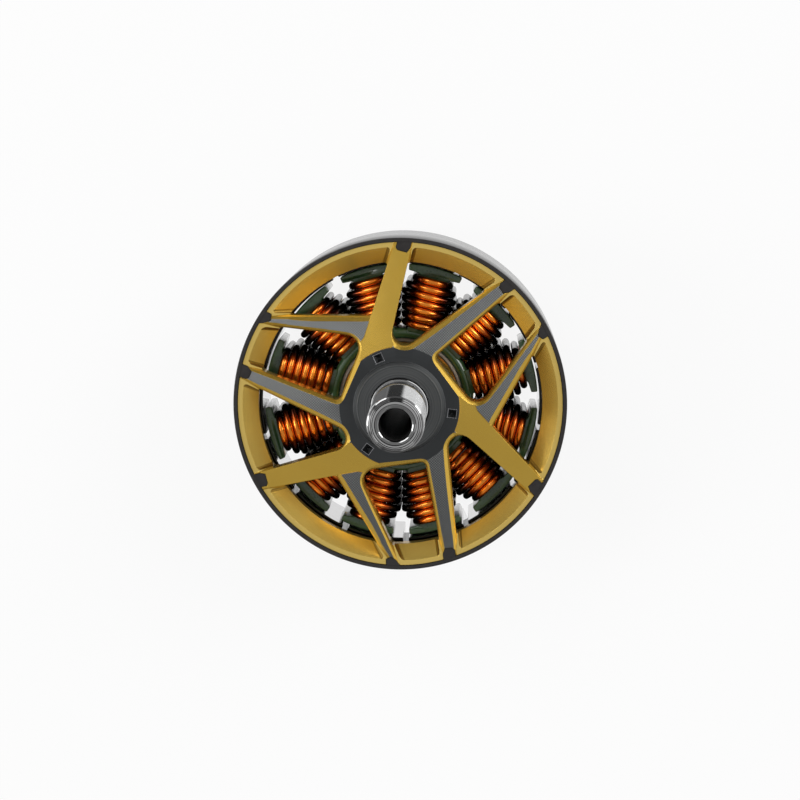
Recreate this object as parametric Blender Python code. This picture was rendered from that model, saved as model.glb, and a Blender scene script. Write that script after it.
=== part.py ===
"""A brushless outrunner motor for a multirotor: a spoked aluminium bell and its flux ring turn with
fourteen magnets and a hollow shaft around a twelve-tooth wound stator on a four-armed base.

Units are metres, +Z runs up the shaft, and the origin is the centre of the base's underside."""

import math

import bmesh
import bpy
from mathutils import Matrix, Vector

for old in list(bpy.data.objects):
    bpy.data.objects.remove(old, do_unlink=True)

MM = 0.001
SHAFT_AXIS = Vector((0, 0))

# Fits
SEAT_GAP = 0.04 * MM        # between pieces that are pressed, glued or stacked together
RUNNING_GAP = 0.5 * MM      # between the turning ring and the base's arms
AIR_GAP = 0.24 * MM         # between magnets and stator
ROTOR_CLEARANCE = 1.2 * MM  # between the windings and the spokes above them
COIL_FLOOR_GAP = 1.2 * MM   # between the windings and the base below them

# Base
BASE_THICKNESS = 2.3 * MM
ARM_COUNT = 4
ARM_FIRST_ANGLE = math.radians(45)
ARM_WIDTH = 5.6 * MM
BOLT_CIRCLE_RADIUS = 8.0 * MM
BOLT_HOLE_RADIUS = 1.6 * MM
BASE_EDGE = 0.3 * MM
FLANGE_MARGIN = 0.56 * MM
TUBE_WALL = 0.84 * MM
SHOULDER_WIDTH = 0.8 * MM
TUBE_RISE = 0.5 * MM
TUBE_STEP = 0.6 * MM
BEARING_LEDGE = 2.0 * MM

# Bearings
BEARING_BORE_RADIUS = 2.0 * MM
BEARING_WIDTH = 4.0 * MM
RING_LAND = 0.8 * MM
RACE_GAP = 0.9 * MM
BALL_RADIUS = 0.62 * MM
BALL_COUNT = 7
SHIELD_THICKNESS = 0.15 * MM
CAGE_WALL = 0.34 * MM
CAGE_WEB = 0.3 * MM
SHIM_THICKNESS = 0.2 * MM
SHIM_WIDTH = 0.75 * MM
CLIP_THICKNESS = 0.5 * MM
CLIP_WIDTH = 1.25 * MM
CLIP_GROOVE_DEPTH = 0.25 * MM
CLIP_OPENING = math.radians(70)

# Stator
STACK_HEIGHT = 8.0 * MM
TOOTH_COUNT = 12
TOOTH_FIRST_ANGLE = math.radians(15)
TOOTH_WIDTH = 2.3 * MM
YOKE_WIDTH = 1.55 * MM
SHOE_THICKNESS = 0.75 * MM
SHOE_FLARE = 0.3 * MM
SLOT_OPENING = 1.7 * MM

# Windings
WIRE_DIAMETER = 0.66 * MM
WINDING_LAYERS = 2
TURNS = 7
COIL_END_GAP = 0.12 * MM
COIL_SIDE_GAP = 0.06 * MM
TURN_GROOVE = 0.2 * MM

# Rotor
BELL_RADIUS = 15.2 * MM
FLUX_RING_WALL = 1.2 * MM
RING_LIP = 0.36 * MM
RING_EDGE = 0.18 * MM
MAGNET_COUNT = 14
MAGNET_FIRST_ANGLE = math.radians(2)
MAGNET_THICKNESS = 1.22 * MM
MAGNET_SPACING = 0.5 * MM
MAGNET_OVERHANG = 1.0 * MM
RIM_DEPTH = 2.6 * MM
RIM_LAND = 0.5 * MM
RIM_SLOPE_WIDTH = 1.4 * MM
RIM_LIP_HEIGHT = 1.3 * MM
SPOKE_THICKNESS = 1.6 * MM
UNDERSIDE_RISE = 0.7 * MM
SPOKE_RISE = 1.9 * MM
HUB_DISC_RADIUS = 5.43 * MM
HUB_FOOT_WALL = 0.6 * MM
BOSS_RADIUS = 4.05 * MM
BOSS_HEIGHT = 0.45 * MM
HUB_BORE_EDGE = 0.22 * MM
EDGE_BEVEL = 0.34 * MM
PATTERN_REPEATS = 3

# Spoke edges: each runs from a window corner to the rim opening, and has its angle there about the shaft
WIDE_EDGE_ANGLE = math.radians(86.8)
STRAIGHT_UPPER_ANGLE = math.radians(53.3)
STRAIGHT_LOWER_ANGLE = math.radians(46.1)
BRANCH_UPPER_ANGLE = math.radians(26.8)
BRANCH_LOWER_ANGLE = math.radians(20.9)
WIDE_FAR_EDGE_ANGLE = math.radians(-25.2)

# Window corners beside the hub: share of the way from the hub disc to the rim opening, and angle
LARGE_WINDOW_CORNER = (-0.162, math.radians(108.1))
MIDDLE_WINDOW_UPPER_CORNER = (0.0067, math.radians(55.0))
MIDDLE_WINDOW_LOWER_CORNER = (0.2195, math.radians(-2.9))
SMALL_WINDOW_CORNER = (0.4244, math.radians(-12.4))
LARGE_WINDOW_FILLET = 1.15 * MM
MIDDLE_WINDOW_UPPER_FILLET = 0.5 * MM
MIDDLE_WINDOW_LOWER_FILLET = 1.2 * MM
SMALL_WINDOW_FILLET = 0.3 * MM
RIM_CORNER_FILLET = 0.4 * MM

# Milling beside the spokes
POCKET_FILLET = 0.7 * MM    # concave, up each end of a rim pocket
POCKET_LEDGE = 0.1 * MM     # rim level left between a pocket and its spoke
GOLD_FACE_DEPTH = 0.12 * MM  # wide spokes below the charcoal faces
OVERCUT = 0.4 * MM          # how far a cut runs past the edge it cleans up
BEVEL_OVERCUT = 1.5         # how far a cut follows a bevel, in bevel widths
SKIN = 0.005 * MM           # keeps two cuts from sharing a plane

# Keys that lock the bell to the flux ring: place on the rim, and the direction that each one runs in
KEY_WIDTH = 1.25 * MM
KEY_ANGLES = (math.radians(88.3), math.radians(47.8), math.radians(27.6))
KEY_DIRECTIONS = (math.radians(75), math.radians(37), math.radians(58))

# Balance pockets on the hub
BALANCE_POCKET_SIZE = 0.8 * MM
BALANCE_POCKET_DEPTH = 0.4 * MM
BALANCE_POCKET_RADIUS = 4.8 * MM
BALANCE_POCKET_ANGLE = math.radians(-7)

# Shaft
SHAFT_BORE_RADIUS = 1.3 * MM
COLLAR_RADIUS = 2.73 * MM
THREAD_RADIUS = 2.5 * MM
THREAD_UNDERCUT = 0.35 * MM
THREAD_UNDERCUT_LENGTH = 0.7 * MM
SHAFT_ABOVE_HUB = 13.4 * MM
SHAFT_TIP_CHAMFER = 0.55 * MM
SHAFT_END_CHAMFER = 0.25 * MM
SHAFT_FOOT_RECESS = 0.5 * MM

# Facets
BELL_SEGMENTS = 56
BASE_SEGMENTS = 32
SHAFT_SEGMENTS = 24
BEARING_SEGMENTS = 20
BALL_POCKET_SEGMENTS = 8
BOLT_HOLE_SEGMENTS = 16
FILLET_STEPS = 3
GOLD_FACE_STEPS = 4
RIM_STEP = math.radians(8)
FILLET_SHARE = 0.45         # the most of an edge that a fillet takes

# Heights worked out from the stack
coil_rise = COIL_SIDE_GAP + WINDING_LAYERS * WIRE_DIAMETER
core_bottom = BASE_THICKNESS + COIL_FLOOR_GAP + coil_rise
core_top = core_bottom + STACK_HEIGHT
core_middle = (core_bottom + core_top) / 2
coil_top = core_top + coil_rise
underside_z = coil_top + ROTOR_CLEARANCE
rim_z = underside_z + SPOKE_THICKNESS
rim_foot_z = rim_z - RIM_DEPTH
ring_bottom = BASE_THICKNESS + RUNNING_GAP
hub_z = rim_z + SPOKE_RISE
boss_z = hub_z + BOSS_HEIGHT
shaft_top = boss_z + SHAFT_ABOVE_HUB
tube_top = core_top + TUBE_RISE

# Radii worked out from the shaft and bearings
shaft_radius = BEARING_BORE_RADIUS - SEAT_GAP
bearing_radius = BEARING_BORE_RADIUS + 2 * RING_LAND + RACE_GAP
tube_inner_radius = bearing_radius + SEAT_GAP
tube_radius = tube_inner_radius + TUBE_WALL
shoulder_radius = tube_radius + SHOULDER_WIDTH
flange_radius = shoulder_radius + FLANGE_MARGIN
core_bore_radius = tube_radius + SEAT_GAP
yoke_radius = core_bore_radius + YOKE_WIDTH
hub_bore_radius = COLLAR_RADIUS + SEAT_GAP

# Radii worked out from the bell
ring_inner_radius = BELL_RADIUS - FLUX_RING_WALL
ring_pocket_radius = BELL_RADIUS - RING_LIP
rim_radius = ring_pocket_radius - SEAT_GAP
rim_slope_radius = rim_radius - RIM_LAND
rim_opening_radius = rim_slope_radius - RIM_SLOPE_WIDTH
magnet_outer_radius = ring_inner_radius - SEAT_GAP
magnet_inner_radius = magnet_outer_radius - MAGNET_THICKNESS
stator_radius = magnet_inner_radius - AIR_GAP
shoe_inner_radius = stator_radius - SHOE_THICKNESS

# Bearing places
lower_bearing_z = BEARING_LEDGE + SEAT_GAP + BEARING_WIDTH / 2
upper_bearing_z = tube_top - BEARING_WIDTH / 2 - SEAT_GAP
upper_shim_z = upper_bearing_z + BEARING_WIDTH / 2 + SEAT_GAP
hub_foot_z = upper_shim_z + SHIM_THICKNESS + SEAT_GAP
lower_shim_z = lower_bearing_z - BEARING_WIDTH / 2 - SEAT_GAP - SHIM_THICKNESS
clip_z = lower_shim_z - SEAT_GAP - CLIP_THICKNESS
ball_circle_radius = (BEARING_BORE_RADIUS + bearing_radius) / 2
race_radius = BALL_RADIUS + SEAT_GAP


# Materials

def material(name, color, metallic, roughness):
    made = bpy.data.materials.new(name)
    made.use_nodes = True
    shader = made.node_tree.nodes["Principled BSDF"]
    shader.inputs["Base Color"].default_value = (*color, 1)
    shader.inputs["Metallic"].default_value = metallic
    shader.inputs["Roughness"].default_value = roughness
    made.diffuse_color = (*color, 1)
    return made


gold_aluminium = material("gold_aluminium", (0.52, 0.33, 0.055), 1.0, 0.35)
black_steel = material("black_steel", (0.02, 0.018, 0.018), 0.4, 0.3)
magnet_nickel = material("magnet_nickel", (0.45, 0.45, 0.46), 1.0, 0.3)
polished_steel = material("polished_steel", (0.6, 0.6, 0.6), 1.0, 0.15)
bearing_steel = material("bearing_steel", (0.5, 0.5, 0.52), 1.0, 0.22)
cage_steel = material("cage_steel", (0.4, 0.36, 0.3), 1.0, 0.4)
spring_steel = material("spring_steel", (0.12, 0.12, 0.13), 1.0, 0.4)
green_epoxy = material("green_epoxy", (0.02, 0.06, 0.02), 0.0, 0.35)
enamelled_copper = material("enamelled_copper", (0.75, 0.17, 0.02), 0.9, 0.25)


# Mesh helpers

def finished(name, bm, surface, sharp_angle=math.radians(32)):
    """A scene object made from a bmesh, shaded smooth apart from its hard edges."""
    bmesh.ops.recalc_face_normals(bm, faces=bm.faces)
    mesh = bpy.data.meshes.new(name)
    bm.to_mesh(mesh)
    bm.free()
    mesh.shade_smooth()
    mesh.set_sharp_from_angle(angle=sharp_angle)
    if surface is not None:
        mesh.materials.append(surface)
    made = bpy.data.objects.new(name, mesh)
    bpy.context.scene.collection.objects.link(made)
    return made


def repeated(first, stem, count):
    """The object and its copies, which share one mesh: numbered names with as many digits as count has."""
    objects = [first]
    for number in range(2, count + 1):
        copy = bpy.data.objects.new(f"{stem}{number:0{len(str(count))}d}", first.data)
        bpy.context.scene.collection.objects.link(copy)
        objects.append(copy)
    return objects


def join_loops(bm, loops, close_ring):
    """Quads between successive vertex loops. The last loop meets the first where close_ring is set."""
    pairs = list(zip(loops, loops[1:]))
    if close_ring:
        pairs.append((loops[-1], loops[0]))
    for lower, upper in pairs:
        for i in range(len(lower)):
            j = (i + 1) % len(lower)
            bm.faces.new((lower[i], lower[j], upper[j], upper[i]))


def polar(radius, angle):
    return Vector((radius * math.cos(angle), radius * math.sin(angle)))


def add_turned(bm, profile, segments):
    """Spins a closed profile of (radius, height) points about Z."""
    loops = []
    for radius, height in profile:
        ring = []
        for i in range(segments):
            spot = polar(radius, 2 * math.pi * i / segments)
            ring.append(bm.verts.new((spot.x, spot.y, height)))
        loops.append(ring)
    join_loops(bm, loops, close_ring=True)


def turned(name, profile, segments, surface):
    bm = bmesh.new()
    add_turned(bm, profile, segments)
    return finished(name, bm, surface)


def add_stack(bm, sections):
    """A closed body through successive sections, each a loop of (x, y, z) points."""
    loops = [[bm.verts.new(point) for point in section] for section in sections]
    join_loops(bm, loops, close_ring=False)
    bm.faces.new(list(reversed(loops[0])))
    bm.faces.new(loops[-1])


def add_prism(bm, outline, bottom, top):
    add_stack(bm, [[(p.x, p.y, z) for p in outline] for z in (bottom, top)])


def circle_about_shaft(radius, segments):
    return [polar(radius, 2 * math.pi * i / segments) for i in range(segments)]


def arc(center, radius, start, end, steps):
    """Points of an arc, both ends included."""
    return [center + polar(radius, start + (end - start) * i / steps) for i in range(steps + 1)]


def rounded(corners, steps=FILLET_STEPS):
    """The outline through (point, fillet radius) corners, each rounded by an arc that its edges can hold."""
    outline = []
    for i, (corner, fillet) in enumerate(corners):
        if fillet == 0:
            outline.append(corner)
            continue
        back = corners[i - 1][0] - corner
        ahead = corners[(i + 1) % len(corners)][0] - corner
        half = back.angle(ahead) / 2
        reach = min(fillet / math.tan(half), FILLET_SHARE * min(back.length, ahead.length))
        radius = reach * math.tan(half)
        back.normalize()
        ahead.normalize()
        center = corner + (back + ahead).normalized() * (radius / math.sin(half))
        start = corner + back * reach - center
        end = corner + ahead * reach - center
        turn = start.angle_signed(end)
        first = math.atan2(start.y, start.x)
        outline += arc(center, radius, first, first - turn, steps)
    return outline


def grown(outline, margin):
    """The outline moved outwards by margin. It runs counter-clockwise."""
    moved = []
    for i, point in enumerate(outline):
        before = (point - outline[i - 1]).normalized()
        after = (outline[(i + 1) % len(outline)] - point).normalized()
        first = Vector((before.y, -before.x))
        second = Vector((after.y, -after.x))
        moved.append(point + (first + second) * (margin / (1 + first.dot(second))))
    return moved


def turned_about_shaft(outline, angle):
    return [Matrix.Rotation(angle, 2) @ point for point in outline]


def boolean(target, other, operation):
    """Keeps the other mesh as a live Boolean operand, out of the render."""
    other.hide_render = True
    other.display_type = "WIRE"
    step = target.modifiers.new(other.name, "BOOLEAN")
    step.operation = operation
    step.solver = "EXACT"
    step.object = other


# Spoke pattern of the bell

def spoke_top(radius):
    """Height of the bell's outer face: it climbs from the rim to the hub disc, which is level."""
    share = (rim_slope_radius - radius) / (rim_slope_radius - HUB_DISC_RADIUS)
    return rim_z + SPOKE_RISE * min(max(share, 0), 1)


def window_corner(share, angle):
    return polar(HUB_DISC_RADIUS + share * (rim_opening_radius - HUB_DISC_RADIUS), angle)


def onto_circle(start, along, radius):
    """Where a line through start meets the circle about the shaft, on the side that along points to."""
    middle = start.dot(along)
    return start + along * (math.sqrt(radius ** 2 - start.length_squared + middle ** 2) - middle)


def on_rim(corner, rim_angle, radius):
    """Where the spoke edge from a corner through the rim opening at rim_angle meets a larger radius."""
    start = window_corner(*corner)
    return onto_circle(start, (polar(rim_opening_radius, rim_angle) - start).normalized(), radius)


# Each window: inner corners with their fillets, then the rim angles of its clockwise and other edge
WINDOWS = (
    ([(LARGE_WINDOW_CORNER, LARGE_WINDOW_FILLET)], STRAIGHT_UPPER_ANGLE, WIDE_EDGE_ANGLE),
    ([(MIDDLE_WINDOW_UPPER_CORNER, MIDDLE_WINDOW_UPPER_FILLET),
      (MIDDLE_WINDOW_LOWER_CORNER, MIDDLE_WINDOW_LOWER_FILLET)], BRANCH_UPPER_ANGLE, STRAIGHT_LOWER_ANGLE),
    ([(SMALL_WINDOW_CORNER, SMALL_WINDOW_FILLET)], WIDE_FAR_EDGE_ANGLE, BRANCH_LOWER_ANGLE),
)


def window_outline(inner_corners, start_angle, end_angle):
    steps = max(3, round((end_angle - start_angle) / RIM_STEP))
    rim = arc(SHAFT_AXIS, rim_opening_radius, start_angle, end_angle, steps)
    corners = [(window_corner(*corner), fillet) for corner, fillet in inner_corners]
    corners.append((rim[0], RIM_CORNER_FILLET))
    corners += [(point, 0) for point in rim[1:-1]]
    corners.append((rim[-1], RIM_CORNER_FILLET))
    return rounded(corners)


def add_window_cutter(bm, outline):
    """Straight walls with a bevel that follows the sloping outer face."""
    wide = grown(outline, EDGE_BEVEL * BEVEL_OVERCUT)
    below = min(hub_foot_z, rim_foot_z) - EDGE_BEVEL
    over = EDGE_BEVEL * (BEVEL_OVERCUT - 1)
    add_stack(bm, [
        [(p.x, p.y, below) for p in outline],
        [(p.x, p.y, spoke_top(p.length) - EDGE_BEVEL) for p in outline],
        [(p.x, p.y, spoke_top(q.length) + over) for p, q in zip(wide, outline)],
        [(p.x, p.y, shaft_top) for p in wide],
    ])


def add_rim_cut(bm, window, turn, columns):
    """A cut along the rim between two spokes. Each column of (radius, height, distance from the spoke's
    edge) points is repeated at both ends, and the last one carries on in between."""
    inner_corners, start_angle, end_angle = window
    sides = ((inner_corners[-1][0], start_angle, 1), (inner_corners[0][0], end_angle, -1))
    ends = []
    for corner, rim_angle, sign in sides:
        sections = []
        for column in columns:
            section = []
            for radius, height, inset in column:
                edge = on_rim(corner, rim_angle, radius)
                section.append((radius, math.atan2(edge.y, edge.x) + sign * inset / radius, height))
            sections.append(section)
        ends.append(sections)
    first, last = ends[0], list(reversed(ends[1]))
    steps = max(3, round((end_angle - start_angle) / RIM_STEP))
    between = []
    for i in range(1, steps):
        pairs = zip(first[-1], last[0])
        between.append([(radius, a + (b - a) * i / steps, z) for (radius, a, z), (_, b, _) in pairs])
    add_stack(bm, [[(*polar(radius, turn + angle), z) for radius, angle, z in section]
                   for section in first + between + last])


def rim_level_columns():
    """Takes the rim between two spokes down to its land, and runs the spokes' bevels out to it."""
    radii = (rim_opening_radius - OVERCUT, rim_slope_radius + OVERCUT / 4)
    over = EDGE_BEVEL * (BEVEL_OVERCUT - 1)
    brow = [(radius, spoke_top(radius) + over, -EDGE_BEVEL * BEVEL_OVERCUT) for radius in radii]
    foot = [(radius, rim_z + SKIN, spoke_top(radius) - rim_z - EDGE_BEVEL) for radius in radii]
    return [edge + [(radius, hub_z, inset) for radius, _, inset in reversed(edge)] for edge in (brow, foot)]


def rim_pocket_columns():
    """A slope that falls towards the window, with a concave fillet at each end."""
    fall = RIM_LIP_HEIGHT / RIM_SLOPE_WIDTH
    inner = rim_opening_radius - OVERCUT
    top = rim_z + fall * OVERCUT
    columns = []
    for step in range(FILLET_STEPS + 1):
        angle = math.pi / 2 * (1 - step / FILLET_STEPS)
        inset = POCKET_LEDGE + POCKET_FILLET * (1 - math.sin(angle))
        lift = POCKET_FILLET * (1 - math.cos(angle))
        columns.append([
            (inner, rim_z - RIM_LIP_HEIGHT - fall * OVERCUT + lift, inset),
            (rim_slope_radius + OVERCUT - lift / fall, top, inset),
            (inner, top, inset),
        ])
    return columns


def add_gold_face_cutter(bm, turn):
    """Clears a wide spoke's face, from the hub disc to the rim, to just below the faces beside it."""
    ahead = 2 * math.pi / PATTERN_REPEATS
    small, lower, upper = (window_corner(share, angle + ahead) for share, angle in
                           (SMALL_WINDOW_CORNER, MIDDLE_WINDOW_LOWER_CORNER, MIDDLE_WINDOW_UPPER_CORNER))
    far_edge = (polar(rim_opening_radius, WIDE_FAR_EDGE_ANGLE + ahead) - small).normalized()
    hub_edge = (lower - upper).normalized()
    half_way = (HUB_DISC_RADIUS + lower.length) / 2
    past_corner = small.length + 2 * OVERCUT
    outer = rim_slope_radius + OVERCUT / 4
    stations = (
        (HUB_DISC_RADIUS, onto_circle(lower, hub_edge, HUB_DISC_RADIUS), OVERCUT),
        (half_way, onto_circle(lower, hub_edge, half_way), OVERCUT),
        (lower.length, lower, 0),
        (small.length, small, 0),
        (past_corner, onto_circle(small, far_edge, past_corner), OVERCUT),
        (outer, onto_circle(small, far_edge, outer), OVERCUT),
    )
    sections = []
    for radius, left, past in stations:
        right = on_rim(LARGE_WINDOW_CORNER, WIDE_EDGE_ANGLE, radius)
        start = math.atan2(right.y, right.x) - OVERCUT / radius
        end = math.atan2(left.y, left.x) + past / radius
        depth = GOLD_FACE_DEPTH * (rim_slope_radius - radius) / (rim_slope_radius - HUB_DISC_RADIUS)
        face = arc(SHAFT_AXIS, radius, turn + start, turn + end, GOLD_FACE_STEPS)
        sections.append([(p.x, p.y, spoke_top(radius) - depth) for p in face]
                        + [(p.x, p.y, shaft_top) for p in reversed(face)])
    add_stack(bm, sections)


def key_outline(index, margin):
    """A key's plan: a bar along its own direction, across the joint of bell and ring."""
    along = polar(1, KEY_DIRECTIONS[index])
    side = Vector((along.y, -along.x))
    middle = polar(ring_pocket_radius, KEY_ANGLES[index])
    chamfer = along * (KEY_WIDTH / 6)
    ends = []
    for sign in (1, -1):
        start = middle + side * (sign * (KEY_WIDTH / 2 + margin))
        inner = onto_circle(start, along, ring_inner_radius - margin)
        outer = onto_circle(start, along, ring_pocket_radius + RING_LIP / 2)
        ends.append((inner, inner + chamfer, outer))
    (right, right_edge, right_end), (left, left_edge, left_end) = ends
    inward = (left - right) / 6
    return [right + inward, right_edge, right_end, left_end, left_edge, left - inward]


def make_bell():
    profile = [
        (hub_bore_radius, hub_foot_z),
        (hub_bore_radius + HUB_FOOT_WALL, hub_foot_z),
        (hub_bore_radius + HUB_FOOT_WALL, underside_z),
        (HUB_DISC_RADIUS, underside_z + UNDERSIDE_RISE),
        (rim_opening_radius - RIM_LAND, underside_z),
        (rim_opening_radius - RIM_LAND, rim_foot_z + RIM_LAND),
        (rim_opening_radius, rim_foot_z),
        (rim_radius, rim_foot_z),
        (rim_radius, rim_z),
        (rim_slope_radius, rim_z),
        (HUB_DISC_RADIUS, hub_z),
        (BOSS_RADIUS, hub_z),
        (BOSS_RADIUS - BOSS_HEIGHT / 3, boss_z),
        (hub_bore_radius + HUB_BORE_EDGE, boss_z),
        (hub_bore_radius, boss_z - HUB_BORE_EDGE),
    ]
    bell = turned("bell", profile, BELL_SEGMENTS, gold_aluminium)
    repeat_angles = [2 * math.pi * i / PATTERN_REPEATS for i in range(PATTERN_REPEATS)]

    windows = bmesh.new()
    levels = bmesh.new()
    pockets = bmesh.new()
    gold_faces = bmesh.new()
    notches = bmesh.new()
    for turn in repeat_angles:
        for window in WINDOWS:
            add_window_cutter(windows, turned_about_shaft(window_outline(*window), turn))
            add_rim_cut(levels, window, turn, rim_level_columns())
            add_rim_cut(pockets, window, turn, rim_pocket_columns())
        add_gold_face_cutter(gold_faces, turn)
        for index in range(len(KEY_ANGLES)):
            outline = turned_about_shaft(key_outline(index, SEAT_GAP), turn)
            add_prism(notches, outline, rim_foot_z - RIM_LAND, rim_z + RIM_LAND)
        half = BALANCE_POCKET_SIZE / 2
        square = [Vector((BALANCE_POCKET_RADIUS + x * half, y * half))
                  for x, y in ((-1, -1), (1, -1), (1, 1), (-1, 1))]
        add_prism(notches, turned_about_shaft(square, BALANCE_POCKET_ANGLE + turn),
                  hub_z - BALANCE_POCKET_DEPTH, hub_z + BALANCE_POCKET_DEPTH)
    boolean(bell, finished("cutter_windows", windows, None), "DIFFERENCE")
    boolean(bell, finished("cutter_rim_level", levels, None), "DIFFERENCE")
    boolean(bell, finished("cutter_rim_pockets", pockets, None), "DIFFERENCE")
    boolean(bell, finished("cutter_gold_faces", gold_faces, None), "DIFFERENCE")
    boolean(bell, finished("cutter_notches", notches, None), "DIFFERENCE")
    return bell


def make_flux_ring():
    profile = [
        (ring_inner_radius, ring_bottom + RING_EDGE),
        (ring_inner_radius + RING_EDGE, ring_bottom),
        (BELL_RADIUS - RING_EDGE, ring_bottom),
        (BELL_RADIUS, ring_bottom + RING_EDGE),
        (BELL_RADIUS, rim_z - RING_EDGE),
        (BELL_RADIUS - RING_EDGE, rim_z),
        (ring_pocket_radius, rim_z),
        (ring_pocket_radius, rim_foot_z - SEAT_GAP),
        (ring_inner_radius, rim_foot_z - SEAT_GAP),
    ]
    ring = turned("flux_ring", profile, BELL_SEGMENTS, black_steel)
    keys = bmesh.new()
    for i in range(PATTERN_REPEATS):
        for index in range(len(KEY_ANGLES)):
            outline = turned_about_shaft(key_outline(index, 0), 2 * math.pi * i / PATTERN_REPEATS)
            add_prism(keys, outline, rim_foot_z - RIM_LAND, rim_z - SEAT_GAP)
    boolean(ring, finished("keys", keys, None), "UNION")
    return ring


def make_magnets():
    pitch = 2 * math.pi / MAGNET_COUNT
    half = pitch / 2 - MAGNET_SPACING / 2 / magnet_inner_radius
    outline = (arc(SHAFT_AXIS, magnet_outer_radius, -half, half, 4)
               + arc(SHAFT_AXIS, magnet_inner_radius, half, -half, 4))
    bm = bmesh.new()
    add_prism(bm, outline, core_bottom - MAGNET_OVERHANG, core_top + MAGNET_OVERHANG)
    first = finished("magnet_01", bm, magnet_nickel)
    for i, magnet in enumerate(repeated(first, "magnet_", MAGNET_COUNT)):
        magnet.rotation_euler.z = MAGNET_FIRST_ANGLE + i * pitch


# Stator

def make_core():
    """Laminated core: a yoke ring with teeth that end in wide shoes."""
    half_shoe = math.pi / TOOTH_COUNT - SLOT_OPENING / 2 / stator_radius
    half_width = TOOTH_WIDTH / 2
    outline = []
    for i in range(TOOTH_COUNT):
        middle = TOOTH_FIRST_ANGLE + 2 * math.pi * i / TOOTH_COUNT
        root = math.sqrt(yoke_radius ** 2 - half_width ** 2)
        tip = polar(shoe_inner_radius + SHOE_FLARE, half_shoe)
        rim = arc(SHAFT_AXIS, stator_radius, -half_shoe, half_shoe, 4)
        flank = [Vector((root, half_width)), Vector((shoe_inner_radius, half_width)), tip]
        tooth = [Vector((p.x, -p.y)) for p in flank] + rim + list(reversed(flank))
        tooth.append(polar(yoke_radius, math.pi / TOOTH_COUNT))
        outline += turned_about_shaft(tooth, middle)
    bm = bmesh.new()
    add_prism(bm, outline, core_bottom, core_top)
    core = finished("stator_core", bm, green_epoxy)
    bore = bmesh.new()
    add_prism(bore, circle_about_shaft(core_bore_radius, BASE_SEGMENTS), 0, shaft_top)
    boolean(core, finished("cutter_core_bore", bore, None), "DIFFERENCE")


def winding_loop(x, half_width, half_height, corner):
    """One turn's outline round the tooth, in the plane across it."""
    points = []
    for quarter in range(4):
        sign_y = 1 if quarter in (0, 3) else -1
        sign_z = 1 if quarter in (0, 1) else -1
        center_y = sign_y * (half_width - corner)
        center_z = sign_z * (half_height - corner)
        for step in range(2):
            angle = math.pi / 2 * (quarter + (1 + 2 * step) / 4)
            points.append((x, center_y + corner * math.cos(angle), center_z + corner * math.sin(angle)))
    return points


def make_coils():
    """Ribbed windings: one layer of wire at the yoke, which fans out to two layers at the shoe."""
    start = yoke_radius + COIL_END_GAP
    length = shoe_inner_radius - COIL_END_GAP - start
    hole_width = TOOTH_WIDTH / 2 + COIL_SIDE_GAP
    hole_height = STACK_HEIGHT / 2 + COIL_SIDE_GAP
    thin = WIRE_DIAMETER
    thick = WIRE_DIAMETER * WINDING_LAYERS
    sections = []
    for i in range(2 * TURNS + 1):
        share = i / (2 * TURNS)
        build_up = thin + (thick - thin) * share
        groove = 0 if i % 2 else TURN_GROOVE
        x = start + length * share
        widest = x * math.tan(math.pi / TOOTH_COUNT) - COIL_END_GAP
        half_width = min(hole_width + build_up, widest) - groove
        sections.append(winding_loop(x, half_width, hole_height + build_up - groove, WIRE_DIAMETER))
    hole_corner = COIL_SIDE_GAP
    sections.append(winding_loop(start + length, hole_width, hole_height, hole_corner))
    sections.append(winding_loop(start, hole_width, hole_height, hole_corner))
    bm = bmesh.new()
    loops = [[bm.verts.new(point) for point in section] for section in sections]
    join_loops(bm, loops, close_ring=True)
    first = finished("coil_01", bm, enamelled_copper, math.radians(60))
    for i, coil in enumerate(repeated(first, "coil_", TOOTH_COUNT)):
        coil.location.z = core_middle
        coil.rotation_euler.z = TOOTH_FIRST_ANGLE + 2 * math.pi * i / TOOTH_COUNT


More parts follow.
